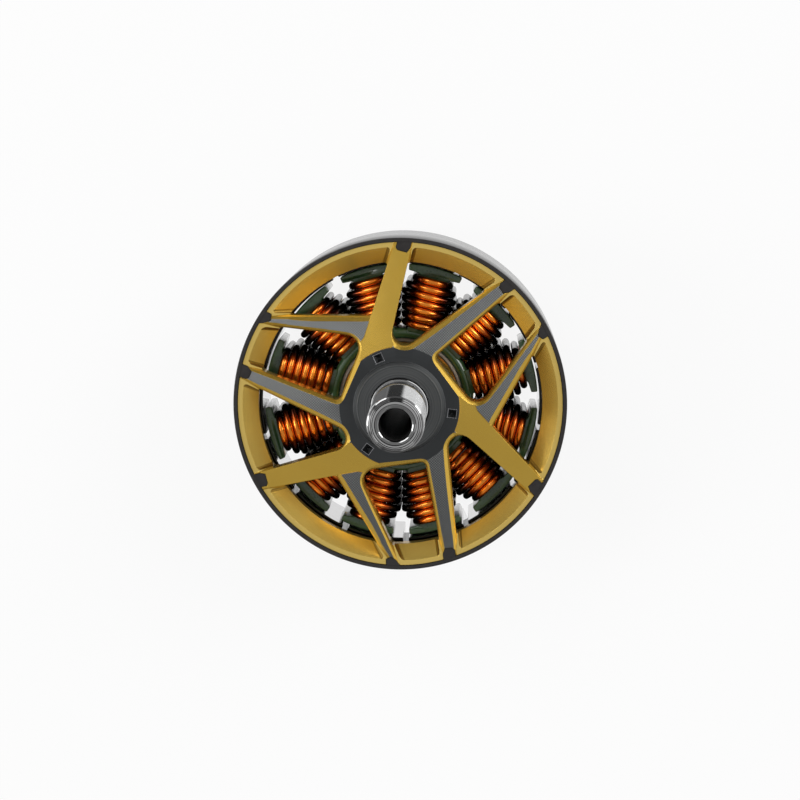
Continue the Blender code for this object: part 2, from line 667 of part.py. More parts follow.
def make_base():
    """Four-armed mounting plate turned in one piece with the bearing tube."""
    arm_half = ARM_WIDTH / 2
    corner_distance = arm_half / math.sin(math.pi / ARM_COUNT)
    outline = []
    for i in range(ARM_COUNT):
        angle = ARM_FIRST_ANGLE + 2 * math.pi * i / ARM_COUNT
        end = arc(Vector((BOLT_CIRCLE_RADIUS, 0)), arm_half, -math.pi / 2, math.pi / 2, 8)
        outline += turned_about_shaft(end, angle)
        outline.append(polar(corner_distance, angle + math.pi / ARM_COUNT))
    inset = grown(outline, -BASE_EDGE)
    bm = bmesh.new()
    add_stack(bm, [
        [(p.x, p.y, 0) for p in inset],
        [(p.x, p.y, BASE_EDGE) for p in outline],
        [(p.x, p.y, BASE_THICKNESS - BASE_EDGE) for p in outline],
        [(p.x, p.y, BASE_THICKNESS) for p in inset],
    ])
    arms = finished("arms", bm, None)

    step_radius = tube_inner_radius - TUBE_STEP
    ledge_radius = bearing_radius - RING_LAND
    step_bottom = lower_bearing_z + BEARING_WIDTH / 2 + SEAT_GAP
    step_top = upper_bearing_z - BEARING_WIDTH / 2 - SEAT_GAP
    base = turned("base", [
        (ledge_radius, 0),
        (flange_radius, 0),
        (flange_radius, BASE_THICKNESS - BASE_EDGE),
        (flange_radius - BASE_EDGE, BASE_THICKNESS),
        (shoulder_radius, BASE_THICKNESS),
        (shoulder_radius, core_bottom - SEAT_GAP),
        (tube_radius, core_bottom - SEAT_GAP),
        (tube_radius, tube_top),
        (tube_inner_radius, tube_top),
        (tube_inner_radius, step_top),
        (step_radius, step_top),
        (step_radius, step_bottom),
        (tube_inner_radius, step_bottom),
        (tube_inner_radius, BEARING_LEDGE),
        (ledge_radius, BEARING_LEDGE),
    ], BASE_SEGMENTS, gold_aluminium)

    middle = bmesh.new()
    in_wall = circle_about_shaft(tube_inner_radius + TUBE_WALL / 2, BASE_SEGMENTS)
    add_prism(middle, in_wall, -BASE_THICKNESS, shaft_top)
    boolean(arms, finished("cutter_arm_middle", middle, None), "DIFFERENCE")
    boolean(base, arms, "UNION")
    holes = bmesh.new()
    for i in range(ARM_COUNT):
        spot = polar(BOLT_CIRCLE_RADIUS, ARM_FIRST_ANGLE + 2 * math.pi * i / ARM_COUNT)
        add_prism(holes, arc(spot, BOLT_HOLE_RADIUS, 0, 2 * math.pi, BOLT_HOLE_SEGMENTS)[:-1],
                  -BASE_THICKNESS, 2 * BASE_THICKNESS)
    boolean(base, finished("cutter_bolt_holes", holes, None), "DIFFERENCE")


# Shaft and bearings

def make_shaft():
    thread_start = boss_z - HUB_BORE_EDGE + THREAD_UNDERCUT_LENGTH
    neck_radius = THREAD_RADIUS - THREAD_UNDERCUT
    groove_radius = shaft_radius - CLIP_GROOVE_DEPTH
    tip_radius = THREAD_RADIUS - SHAFT_TIP_CHAMFER
    bore_edge = (tip_radius - SHAFT_BORE_RADIUS) / 4
    turned("shaft", [
        (SHAFT_BORE_RADIUS, SHAFT_FOOT_RECESS),
        (shaft_radius - SHAFT_END_CHAMFER, SHAFT_FOOT_RECESS),
        (shaft_radius, SHAFT_FOOT_RECESS + SHAFT_END_CHAMFER),
        (shaft_radius, clip_z - SEAT_GAP),
        (groove_radius, clip_z - SEAT_GAP),
        (groove_radius, clip_z + CLIP_THICKNESS + SEAT_GAP),
        (shaft_radius, clip_z + CLIP_THICKNESS + SEAT_GAP),
        (shaft_radius, hub_foot_z),
        (COLLAR_RADIUS, hub_foot_z),
        (COLLAR_RADIUS, boss_z - HUB_BORE_EDGE),
        (neck_radius, thread_start - THREAD_UNDERCUT),
        (neck_radius, thread_start),
        (THREAD_RADIUS, thread_start + THREAD_UNDERCUT),
        (THREAD_RADIUS, shaft_top - SHAFT_TIP_CHAMFER),
        (tip_radius, shaft_top),
        (SHAFT_BORE_RADIUS + bore_edge, shaft_top),
        (SHAFT_BORE_RADIUS, shaft_top - bore_edge),
    ], SHAFT_SEGMENTS, polished_steel)


def make_bearing(side, middle_z):
    """A shielded deep-groove ball bearing: two rings, a crown cage with its balls, and two shields."""
    half = BEARING_WIDTH / 2
    inner_land = BEARING_BORE_RADIUS + RING_LAND
    outer_land = bearing_radius - RING_LAND
    groove = []
    for i in range(3):
        angle = math.radians(-55 + 55 * i)
        groove.append((race_radius * math.cos(angle), race_radius * math.sin(angle)))
    inner_profile = [
        (BEARING_BORE_RADIUS, middle_z - half),
        (inner_land, middle_z - half),
        *[(min(inner_land, ball_circle_radius - x), middle_z + z) for x, z in groove],
        (inner_land, middle_z + half),
        (BEARING_BORE_RADIUS, middle_z + half),
    ]
    turned(f"{side}_bearing_inner_ring", inner_profile, BEARING_SEGMENTS, bearing_steel)
    recess = SHIELD_THICKNESS + 2 * SEAT_GAP
    recess_radius = bearing_radius - RING_LAND / 2
    outer_profile = [
        (bearing_radius, middle_z - half),
        (bearing_radius, middle_z + half),
        (recess_radius, middle_z + half),
        (recess_radius, middle_z + half - recess),
        (outer_land, middle_z + half - recess),
        *[(max(outer_land, ball_circle_radius + x), middle_z + z) for x, z in reversed(groove)],
        (outer_land, middle_z - half + recess),
        (recess_radius, middle_z - half + recess),
        (recess_radius, middle_z - half),
    ]
    turned(f"{side}_bearing_outer_ring", outer_profile, BEARING_SEGMENTS, bearing_steel)
    for place, shield_z in (("top", middle_z + half - recess + SEAT_GAP),
                            ("bottom", middle_z - half + recess - SEAT_GAP - SHIELD_THICKNESS)):
        turned(f"{side}_bearing_{place}_shield", [
            (inner_land + SEAT_GAP, shield_z),
            (recess_radius - SEAT_GAP, shield_z),
            (recess_radius - SEAT_GAP, shield_z + SHIELD_THICKNESS),
            (inner_land + SEAT_GAP, shield_z + SHIELD_THICKNESS),
        ], BEARING_SEGMENTS, bearing_steel)
    cage = turned(f"{side}_bearing_cage", [
        (ball_circle_radius - CAGE_WALL / 2, middle_z - race_radius - CAGE_WEB),
        (ball_circle_radius + CAGE_WALL / 2, middle_z - race_radius - CAGE_WEB),
        (ball_circle_radius + CAGE_WALL / 2, middle_z + race_radius / 2),
        (ball_circle_radius - CAGE_WALL / 2, middle_z + race_radius / 2),
    ], BEARING_SEGMENTS, cage_steel)
    pockets = bmesh.new()
    for i in range(BALL_COUNT):
        circle = arc(Vector((0, middle_z)), race_radius + SEAT_GAP, 0, 2 * math.pi, BALL_POCKET_SEGMENTS)[:-1]
        turn = Matrix.Rotation(2 * math.pi * i / BALL_COUNT, 3, "Z")
        add_stack(pockets, [[turn @ Vector((radius, p.x, p.y)) for p in circle]
                            for radius in (BEARING_BORE_RADIUS, bearing_radius)])
    boolean(cage, finished(f"cutter_{side}_ball_pockets", pockets, None), "DIFFERENCE")
    ball = bmesh.new()
    bmesh.ops.create_uvsphere(ball, u_segments=8, v_segments=5, radius=BALL_RADIUS)
    first = finished(f"{side}_ball_1", ball, bearing_steel, math.pi)
    for i, ball_object in enumerate(repeated(first, f"{side}_ball_", BALL_COUNT)):
        spot = polar(ball_circle_radius, 2 * math.pi * i / BALL_COUNT)
        ball_object.location = (spot.x, spot.y, middle_z)


def make_shim(name, bottom):
    turned(name, [
        (BEARING_BORE_RADIUS, bottom),
        (BEARING_BORE_RADIUS + SHIM_WIDTH, bottom),
        (BEARING_BORE_RADIUS + SHIM_WIDTH, bottom + SHIM_THICKNESS),
        (BEARING_BORE_RADIUS, bottom + SHIM_THICKNESS),
    ], BEARING_SEGMENTS, gold_aluminium)


def make_clip():
    """Retaining clip: an open ring that snaps into the shaft's groove from the side."""
    inner = shaft_radius - CLIP_GROOVE_DEPTH + SEAT_GAP
    start = CLIP_OPENING / 2
    end = 2 * math.pi - start
    outline = arc(SHAFT_AXIS, inner + CLIP_WIDTH, start, end, 14) + arc(SHAFT_AXIS, inner, end, start, 14)
    bm = bmesh.new()
    add_prism(bm, outline, clip_z, clip_z + CLIP_THICKNESS)
    finished("retaining_clip", bm, spring_steel)


make_base()
make_core()
make_coils()
make_bearing("lower", lower_bearing_z)
make_bearing("upper", upper_bearing_z)
make_shim("lower_shim", lower_shim_z)
make_shim("upper_shim", upper_shim_z)
make_clip()
make_shaft()
make_flux_ring()
make_magnets()
make_bell()
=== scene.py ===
from math import atan2, ceil, copysign, cos, pi, radians, sin, sqrt, tan

import bmesh
import bpy
from mathutils import Matrix, Vector


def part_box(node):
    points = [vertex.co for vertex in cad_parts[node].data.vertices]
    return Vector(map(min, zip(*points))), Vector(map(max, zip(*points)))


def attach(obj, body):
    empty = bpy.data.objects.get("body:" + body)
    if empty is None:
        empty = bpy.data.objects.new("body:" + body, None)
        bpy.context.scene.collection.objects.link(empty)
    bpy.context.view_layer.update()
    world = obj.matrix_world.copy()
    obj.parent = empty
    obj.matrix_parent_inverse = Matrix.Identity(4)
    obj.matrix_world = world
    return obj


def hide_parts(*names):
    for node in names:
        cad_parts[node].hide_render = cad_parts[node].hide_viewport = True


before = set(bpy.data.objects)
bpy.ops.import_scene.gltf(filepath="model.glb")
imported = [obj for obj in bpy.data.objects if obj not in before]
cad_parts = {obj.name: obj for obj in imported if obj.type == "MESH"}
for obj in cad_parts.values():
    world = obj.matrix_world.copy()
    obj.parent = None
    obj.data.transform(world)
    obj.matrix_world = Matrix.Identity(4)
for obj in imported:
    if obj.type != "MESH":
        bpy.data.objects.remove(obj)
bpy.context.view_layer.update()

MM = 0.001
AXIS = Vector((0, 0))


# Measures read from the frame

def reach(node):
    """Largest distance of a round node's sides from the shaft."""
    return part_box(node)[1][0]


def low(node):
    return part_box(node)[0][2]


def high(node):
    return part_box(node)[1][2]


# Sizes that several pieces share

SEAT_GAP = 0.04 * MM
RING_WALL = 1.2 * MM
RING_LIP = 0.36 * MM
RIM_LAND = 0.43 * MM
LAND_STEP = 0.18 * MM
RIM_SLOPE_WIDTH = 1.4 * MM
RIM_LIP_HEIGHT = 1.3 * MM
RIM_DEPTH = 2.6 * MM
SPOKE_RISE = 1.9 * MM
SPOKE_THICKNESS = 1.6 * MM
HUB_DISC_RADIUS = 5.43 * MM
HUB_BORE_EDGE = 0.1 * MM
BOSS_RADIUS = 4.18 * MM
COLLAR_RADIUS = 2.62 * MM
BEARING_BORE = 2.0 * MM
SHAFT_RADIUS = BEARING_BORE - SEAT_GAP
CLIP_GROOVE = 0.25 * MM
SHARP_ANGLE = radians(32)
FILLET_SHARE = 0.45  # the most of an edge that a fillet takes
BREAK_SHARE = 0.3    # how far in the middle of a broken edge lies, as a share of its width

BELL_RADIUS = reach("flux_ring")
BEARING_RADIUS = reach("lower_bearing_outer_ring")
rim_z = high("flux_ring")
hub_z = rim_z + SPOKE_RISE
boss_z = high("bell")
shaft_top = high("shaft")
underside_z = rim_z - SPOKE_THICKNESS
rim_foot_z = rim_z - RIM_DEPTH
hub_foot_z = low("bell")
land_z = rim_z - LAND_STEP
ring_inner_radius = BELL_RADIUS - RING_WALL
ring_pocket_radius = BELL_RADIUS - RING_LIP
rim_radius = ring_pocket_radius - SEAT_GAP
rim_slope_radius = rim_radius - RIM_LAND
rim_opening_radius = rim_slope_radius - RIM_SLOPE_WIDTH
hub_bore_radius = COLLAR_RADIUS + SEAT_GAP


# Mesh helpers

def between(start, end, steps):
    return [start + (end - start) * i / steps for i in range(steps + 1)]


def polar(radius, angle):
    return Vector((radius * cos(angle), radius * sin(angle)))


def arc(center, radius, start, end, steps):
    return [center + polar(radius, angle) for angle in between(start, end, steps)]


def circle(radius, segments):
    return [polar(radius, 2 * pi * i / segments) for i in range(segments)]


def about_shaft(outline, angle):
    return [Matrix.Rotation(angle, 2) @ point for point in outline]


def at_height(outline, z):
    return [(p.x, p.y, z) for p in outline]


def add_loops(bm, sections):
    return [[bm.verts.new(point) for point in section] for section in sections]


def join_loops(bm, loops, close_ring, slots=None):
    """Faces between each loop and the next; slots gives each strip of them its material."""
    pairs = list(zip(loops, loops[1:]))
    if close_ring:
        pairs.append((loops[-1], loops[0]))
    for index, (lower, upper) in enumerate(pairs):
        for i in range(len(lower)):
            j = (i + 1) % len(lower)
            face = bm.faces.new((lower[i], lower[j], upper[j], upper[i]))
            if slots:
                face.material_index = slots[index]


def add_caps(bm, loops):
    bm.faces.new(list(reversed(loops[0])))
    bm.faces.new(loops[-1])


def turned_sections(profile, segments):
    """A circle of points for each (radius, height) of the profile."""
    return [at_height(circle(radius, segments), z) for radius, z in profile]


def add_turned(bm, profile, segments, slots=None):
    """Spins a closed profile."""
    join_loops(bm, add_loops(bm, turned_sections(profile, segments)), True, slots)


def add_stack(bm, sections, slot=0):
    """A closed solid through sections that have as many points each."""
    loops = add_loops(bm, sections)
    first = len(bm.faces)
    join_loops(bm, loops, False)
    add_caps(bm, loops)
    bm.faces.ensure_lookup_table()
    for face in bm.faces[first:]:
        face.material_index = slot


def add_prism(bm, outline, bottom, top):
    add_stack(bm, [at_height(outline, z) for z in (bottom, top)])


def rounded(corners, steps):
    """The outline through (point, fillet radius) corners."""
    outline = []
    for i, (corner, fillet) in enumerate(corners):
        if fillet == 0:
            outline.append(corner)
            continue
        back = corners[i - 1][0] - corner
        ahead = corners[(i + 1) % len(corners)][0] - corner
        half = back.angle(ahead) / 2
        along = min(fillet / tan(half), FILLET_SHARE * min(back.length, ahead.length))
        radius = along * tan(half)
        back.normalize()
        ahead.normalize()
        center = corner + (back + ahead).normalized() * (radius / sin(half))
        start = corner + back * along - center
        end = corner + ahead * along - center
        turn = start.angle_signed(end)
        first = atan2(start.y, start.x)
        outline += arc(center, radius, first, first - turn, steps)
    return outline


def grown(outline, margins):
    """The outline moved outwards by a margin at each point."""
    moved = []
    for i, (point, margin) in enumerate(zip(outline, margins)):
        before = (point - outline[i - 1]).normalized()
        after = (outline[(i + 1) % len(outline)] - point).normalized()
        first = Vector((before.y, -before.x))
        second = Vector((after.y, -after.x))
        moved.append(point + (first + second) * (margin / (1 + first.dot(second))))
    return moved


def smooth_step(value, start, end):
    share = min(max((value - start) / (end - start), 0), 1)
    return share * share * (3 - 2 * share)


def shade(mesh, sharp):
    """Smooth shading, apart from edges where the surface turns by more than that angle."""
    mesh.shade_smooth()
    mesh.set_sharp_from_angle(angle=sharp)


def make_object(name, bm, materials, sharp=SHARP_ANGLE):
    bmesh.ops.recalc_face_normals(bm, faces=bm.faces)
    mesh = bpy.data.meshes.new(name)
    bm.to_mesh(mesh)
    bm.free()
    for surface in materials:
        mesh.materials.append(surface)
    shade(mesh, sharp)
    made = bpy.data.objects.new(name, mesh)
    bpy.context.scene.collection.objects.link(made)
    return made


def settle(target):
    """Applies the object's modifiers."""
    mesh = bpy.data.meshes.new_from_object(target.evaluated_get(bpy.context.evaluated_depsgraph_get()))
    target.modifiers.clear()
    target.data = mesh
    return target


def combine(target, other, operation):
    """Applies a Boolean with another object, which is then removed."""
    step = target.modifiers.new("combine", "BOOLEAN")
    step.operation = operation
    step.solver = "EXACT"
    step.object = other
    settle(target)
    bpy.data.objects.remove(other, do_unlink=True)


def cut(target, bm, operation="DIFFERENCE"):
    combine(target, make_object("tool", bm, target.data.materials[:]), operation)


def soften(target, width, segments=2, angle=SHARP_ANGLE):
    """Small bevels on the hard edges, which catch the light."""
    bevel = target.modifiers.new("edges", "BEVEL")
    bevel.width = width
    bevel.segments = segments
    bevel.limit_method = "ANGLE"
    bevel.angle_limit = angle
    bevel.harden_normals = True
    bevel.miter_outer = "MITER_ARC"
    return target


def piece(made, body, node):
    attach(made, body)
    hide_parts(node)


# Materials, with their lengths in millimetres

NOISE_MIDDLE = (0.3, 0.7)


class Nodes:
    """Short calls that add shader nodes. A value is a number, a colour or another node's output."""

    def __init__(self, tree):
        self.tree = tree

    def put(self, value, socket):
        if isinstance(value, bpy.types.NodeSocket):
            self.tree.links.new(value, socket)
        else:
            socket.default_value = (*value, 1) if isinstance(value, tuple) else value

    def add(self, kind, *values, **settings):
        """A new node with its settings, and with values for its first inputs."""
        node = self.tree.nodes.new("ShaderNode" + kind)
        for key, value in settings.items():
            setattr(node, key, value)
        for value, socket in zip(values, node.inputs):
            self.put(value, socket)
        return node

    def math(self, operation, *values):
        return self.add("Math", *values, operation=operation).outputs[0]

    def range(self, value, low_in, high_in, low_out, high_out):
        return self.add("MapRange", value, low_in, high_in, low_out, high_out).outputs[0]

    def mix(self, share, first, second):
        node = self.add("Mix", data_type="RGBA")
        for value, socket in ((share, node.inputs[0]), (first, node.inputs[6]), (second, node.inputs[7])):
            self.put(value, socket)
        return node.outputs[2]


class Finish(Nodes):
    """A Principled material. Its lengths are in millimetres."""

    def __init__(self, name, color, metallic, **constants):
        self.material = bpy.data.materials.new(name)
        self.material.use_nodes = True
        super().__init__(self.material.node_tree)
        self.shader = self.tree.nodes["Principled BSDF"]
        self.color = color
        self.set("Base Color", color)
        self.set("Metallic", metallic)
        for socket, value in constants.items():
            self.set(socket.replace("_", " "), value)
        scale = self.add("VectorMath", self.add("TexCoord").outputs["Object"], operation="SCALE")
        scale.inputs["Scale"].default_value = 1 / MM
        self.place = scale.outputs[0]
        self.bumped = None

    def set(self, name, value):
        self.put(value, self.shader.inputs[name])

    def split(self):
        return self.add("SeparateXYZ", self.place).outputs

    def radius(self):
        x, y, _ = self.split()
        return self.math("SQRT", self.math("ADD", self.math("MULTIPLY", x, x), self.math("MULTIPLY", y, y)))

    def add_noise(self, dimensions, **entries):
        node = self.add("TexNoise", noise_dimensions=dimensions)
        for name, value in entries.items():
            self.put(value, node.inputs[name])
        return node.outputs["Fac"]

    def noise(self, scale, detail):
        return self.add_noise("3D", Vector=self.place, Scale=scale, Detail=detail)

    def noise_along(self, value, scale, detail):
        """Noise that changes along one value only, as turned or ground lines do."""
        return self.add_noise("1D", W=value, Scale=scale, Detail=detail)

    def spread(self, noise, lowest, highest):
        return self.range(noise, *NOISE_MIDDLE, lowest, highest)

    def tint(self, share, other):
        """The base colour drifts towards another one."""
        self.set("Base Color", self.mix(share, self.color, other))

    def rough(self, noise, lowest, highest):
        self.set("Roughness", self.spread(noise, lowest, highest))

    def bump(self, height, depth, strength=1.0):
        """Relief of that depth."""
        node = self.add("Bump", strength, depth * MM)
        self.put(height, node.inputs["Height"])
        if self.bumped:
            self.put(self.bumped, node.inputs["Normal"])
        self.bumped = node.outputs[0]
        self.set("Normal", self.bumped)

    def round_edges(self, radius):
        """Catches light on sharp edges as if they were rounded by that radius."""
        self.bumped = self.add("Bevel", radius * MM, samples=4).outputs[0]

    def turned_grain(self):
        """Grain that runs in circles round the shaft."""
        self.set("Tangent", self.add("Tangent", direction_type="RADIAL", axis="Z").outputs[0])


def gold_finish(name, color, lighter):
    gold = Finish(name, color, 0.75)
    gold.round_edges(0.05)
    gold.tint(gold.spread(gold.noise(0.35, 3), 0.0, 0.35), lighter)
    gold.rough(gold.noise(0.6, 1), 0.24, 0.27)
    gold.bump(gold.noise(14.0, 2), 0.0005)
    return gold.material


def turned_gold_finish():
    gold = Finish("gold_turned", (0.55, 0.345, 0.05), 0.8, Anisotropic=0.4)
    gold.tint(gold.spread(gold.noise(0.35, 3), 0.0, 0.35), (0.60, 0.40, 0.07))
    lines = gold.noise_along(gold.radius(), 12.0, 3)
    gold.rough(lines, 0.16, 0.24)
    gold.bump(lines, 0.004)
    gold.turned_grain()
    return gold.material


WEAVE_PITCH = 0.12
DISC_EDGE_BLUR = 0.02


def charcoal_finish():
    """Milled grey faces: a fine cross-hatch on the sloping spokes, fine circles on the level hub."""
    grey = Finish("charcoal_milled", (0.10, 0.105, 0.105), 1.0, Anisotropic=0.3)
    grey.round_edges(0.04)
    x, y, _ = grey.split()
    weave = grey.math("MULTIPLY", grey.math("PINGPONG", grey.math("ADD", x, y), WEAVE_PITCH),
                      grey.math("PINGPONG", grey.math("SUBTRACT", x, y), WEAVE_PITCH))
    weave = grey.range(weave, 0.0, WEAVE_PITCH ** 2, 0.0, 1.0)
    radius = grey.radius()
    lines = grey.noise_along(radius, 9.0, 4)
    disc_edge, boss_edge = HUB_DISC_RADIUS / MM, BOSS_RADIUS / MM
    on_hub = grey.range(radius, disc_edge - DISC_EDGE_BLUR, disc_edge + DISC_EDGE_BLUR, 1.0, 0.0)
    on_boss = grey.range(radius, boss_edge, boss_edge + DISC_EDGE_BLUR, 1.0, 0.0)
    specks = grey.range(grey.noise(9.0, 2), 0.35, 0.65, 0.0, 0.5)
    faces = grey.mix(specks, (0.08, 0.084, 0.084), (0.15, 0.155, 0.155))
    spokes = grey.mix(weave, faces, (0.32, 0.325, 0.325))
    hub = grey.mix(grey.math("MULTIPLY", on_boss, lines), (0.055, 0.058, 0.06), (0.16, 0.165, 0.165))
    grey.set("Base Color", grey.mix(on_hub, spokes, hub))
    grey.rough(lines, 0.34, 0.46)
    grey.bump(lines, 0.006)
    grey.bump(weave, 0.008, grey.math("SUBTRACT", 1.0, on_hub))
    grey.turned_grain()
    return grey.material


def ring_finish():
    black = Finish("ring_black_coat", (0.022, 0.02, 0.02), 0.0, Specular_IOR_Level=0.3)
    black.round_edges(0.04)
    peel = black.noise(2.2, 2)
    black.tint(black.spread(peel, 0.0, 1.0), (0.028, 0.026, 0.025))
    black.rough(black.noise(6.0, 3), 0.14, 0.2)
    black.bump(peel, 0.004)
    return black.material


# where the tip's rings turn to a painted dark reflection
TIP_PAINTED_DARK_FROM, TIP_PAINTED_DARK_TO = 0.46, 0.42    # depths below the shaft's end


def shaft_finish():
    """Polished steel, with the turned rings of the tip painted darker as a painted dark reflection."""
    steel = Finish("shaft_polished", (0.60, 0.60, 0.59), 1.0)
    height = steel.split()[2]
    lines = steel.noise_along(height, 16.0, 3)
    polish = steel.mix(steel.noise(1.5, 2), steel.color, (0.52, 0.52, 0.53))
    end = shaft_top / MM
    on_tip = steel.range(height, end - TIP_PAINTED_DARK_FROM, end - TIP_PAINTED_DARK_TO, 0.0, 1.0)
    # painted dark reflection on the tip's rings
    steel.set("Base Color", steel.mix(on_tip, polish, (0.27, 0.27, 0.27)))
    steel.rough(lines, 0.05, 0.11)
    steel.bump(lines, 0.0015)
    return steel.material


def steel_finish(name, color, smoothest, roughest):
    steel = Finish(name, color, 1.0, Anisotropic=0.3)
    lines = steel.noise_along(steel.radius(), 14.0, 3)
    steel.tint(steel.noise(1.2, 2), tuple(0.8 * part for part in color))
    steel.rough(lines, smoothest, roughest)
    steel.bump(lines, 0.003)
    steel.turned_grain()
    return steel.material


def green_finish():
    green = Finish("stator_green_coat", (0.036, 0.088, 0.030), 0.0, Coat_Weight=0.8, Coat_Roughness=0.06)
    peel = green.noise(2.6, 3)
    green.tint(green.spread(peel, 0.0, 1.0), (0.052, 0.12, 0.044))
    green.rough(green.noise(5.0, 2), 0.25, 0.4)
    green.bump(peel, 0.03)
    return green.material


def lamination_finish():
    steel = Finish("bare_laminations", (0.20, 0.17, 0.14), 1.0)
    sheet_thickness = 0.1
    steel.tint(steel.noise(3.0, 3), (0.13, 0.105, 0.08))
    steel.rough(steel.noise(8.0, 2), 0.4, 0.6)
    steel.bump(steel.math("PINGPONG", steel.split()[2], sheet_thickness), 0.02)
    return steel.material


TOOTH_COUNT = 12
HALF_TOOTH_ANGLE = pi / TOOTH_COUNT
# painted shade: how far beside the tooth's middle the wire begins and ends to turn to each darker colour, in
# place of the shade down the winding's sides
PAINTED_COIL_SIDE_SHADE = (
    (0.75, 1.3, (0.40, 0.075, 0.010)),
    (1.25, 1.7, (0.08, 0.012, 0.003)),
    (1.6, 2.05, (0.006, 0.003, 0.002)),
)
SHADE_WANDER = 0.5


def copper_finish():
    """Enamelled wire, with shade painted near black down the sides of each winding."""
    copper = Finish("enamelled_copper_wire", (1.0, 0.34, 0.045), 0.95, Coat_Weight=0.12, Coat_Roughness=0.08)
    x, y, _ = copper.split()
    around = copper.math("PINGPONG", copper.math("ARCTAN2", y, x), HALF_TOOTH_ANGLE)
    from_middle = copper.math("SUBTRACT", HALF_TOOTH_ANGLE, around)
    aside = copper.math("MULTIPLY", copper.radius(), copper.math("SINE", from_middle))
    cloud = copper.noise(1.1, 2)
    aside = copper.math("ADD", aside, copper.math("MULTIPLY", cloud, SHADE_WANDER))
    color = copper.mix(copper.spread(cloud, 0.0, 1.0), copper.color, (0.92, 0.25, 0.03))
    # painted shade: the wire's colour darkens in steps down the winding's sides
    for start, end, darker in PAINTED_COIL_SIDE_SHADE:
        color = copper.mix(copper.range(aside, start, end, 0.0, 1.0), color, darker)
    copper.set("Base Color", color)
    copper.rough(copper.noise(1.7, 1), 0.2, 0.27)
    copper.bump(copper.noise(0.9, 1), 0.015)
    return copper.material


# where the plate turns to painted shade at the magnets' upper end
MAGNET_PAINTED_SHADE_FROM, MAGNET_PAINTED_SHADE_TO = 0.14, 0.08    # depths below the magnets' upper end


def magnet_finish():
    """Nickel plate, painted near black on the upper end as painted shade."""
    nickel = Finish("magnet_nickel_plate", (0.62, 0.62, 0.63), 1.0)
    plate = nickel.mix(nickel.noise(1.1, 2), nickel.color, (0.55, 0.545, 0.54))
    end = high("magnet_01") / MM
    at_end = nickel.range(nickel.split()[2], end - MAGNET_PAINTED_SHADE_FROM, end - MAGNET_PAINTED_SHADE_TO, 0.0, 1.0)
    nickel.set("Base Color", nickel.mix(at_end, plate, (0.03, 0.03, 0.03)))
    nickel.rough(nickel.noise(1.5, 2), 0.06, 0.12)
    nickel.bump(nickel.noise(0.8, 1), 0.004)
    return nickel.material


def spring_finish():
    steel = Finish("spring_steel_blackened", (0.12, 0.12, 0.13), 1.0)
    steel.tint(steel.noise(2.0, 3), (0.07, 0.068, 0.075))
    steel.rough(steel.noise(9.0, 2), 0.3, 0.45)
    steel.bump(steel.noise(12.0, 2), 0.004)
    return steel.material


# The shaft's bore, painted near black as painted shade down the hollow.
def painted_bore_shade_finish():
    dark = Finish("bore_painted_shade", (0.012, 0.011, 0.011), 0.2)
    dark.tint(dark.noise(4.0, 2), (0.02, 0.019, 0.018))
    dark.rough(dark.noise(7.0, 2), 0.55, 0.75)
    dark.bump(dark.noise_along(dark.split()[2], 6.0, 2), 0.01)
    return dark.material


GOLD = gold_finish("gold_anodised", (0.56, 0.355, 0.052), (0.60, 0.40, 0.07))
# copies of the same gold: the land and the slope painted lighter as painted light, the pocket fillets
# painted darker as painted shade
GOLD_LAND_PAINTED_LIGHT = gold_finish("gold_land_painted_light", (0.80, 0.57, 0.15), (0.84, 0.62, 0.18))
GOLD_SLOPE_PAINTED_LIGHT = gold_finish("gold_slope_painted_light", (0.68, 0.47, 0.10), (0.72, 0.51, 0.12))
GOLD_NOOK_PAINTED_SHADE = gold_finish("gold_fillet_painted_shade", (0.30, 0.18, 0.025), (0.36, 0.22, 0.035))
TURNED_GOLD = turned_gold_finish()
CHARCOAL = charcoal_finish()
RING_BLACK = ring_finish()
SHAFT_STEEL = shaft_finish()
BEARING_STEEL = steel_finish("bearing_steel_ground", (0.50, 0.50, 0.52), 0.18, 0.3)
CAGE_STEEL = steel_finish("cage_steel_pressed", (0.40, 0.36, 0.30), 0.3, 0.45)
SHIM_BRASS = steel_finish("shim_brass_stamped", (0.60, 0.42, 0.12), 0.25, 0.4)
STATOR_GREEN = green_finish()
LAMINATIONS = lamination_finish()
COPPER = copper_finish()
NICKEL = magnet_finish()
SPRING = spring_finish()
BORE_PAINTED_SHADE = painted_bore_shade_finish()


# Bell: sizes

REPEATS = [2 * pi * i / 3 for i in range(3)]
BELL_SEGMENTS = 224
RIM_STEP = radians(2)
FILLET_STEPS = 8
BELL_SHARP_ANGLE = radians(13)
UNDERSIDE_RISE = 0.7 * MM
HUB_FOOT_WALL = 0.6 * MM
BOSS_HEIGHT = 0.45 * MM
BOSS_SLOPE = 0.8
OVERCUT = 0.4 * MM
SKIN = 0.005 * MM

# Edge bevels, which have a steep face below a flat one; they meet at shares of the bevel's height and width
EDGE_BEVEL = 0.34 * MM
WIDE_BEVEL = 0.12 * MM
BEVEL_DOWN, BEVEL_ACROSS = 0.55, 0.4
STEEP_FACE = BEVEL_DOWN / BEVEL_ACROSS
FLAT_FACE = (1 - BEVEL_DOWN) / (1 - BEVEL_ACROSS)
BEVEL_OVERCUT = 1.5
BEVEL_RUN_OUT = 0.7 * MM

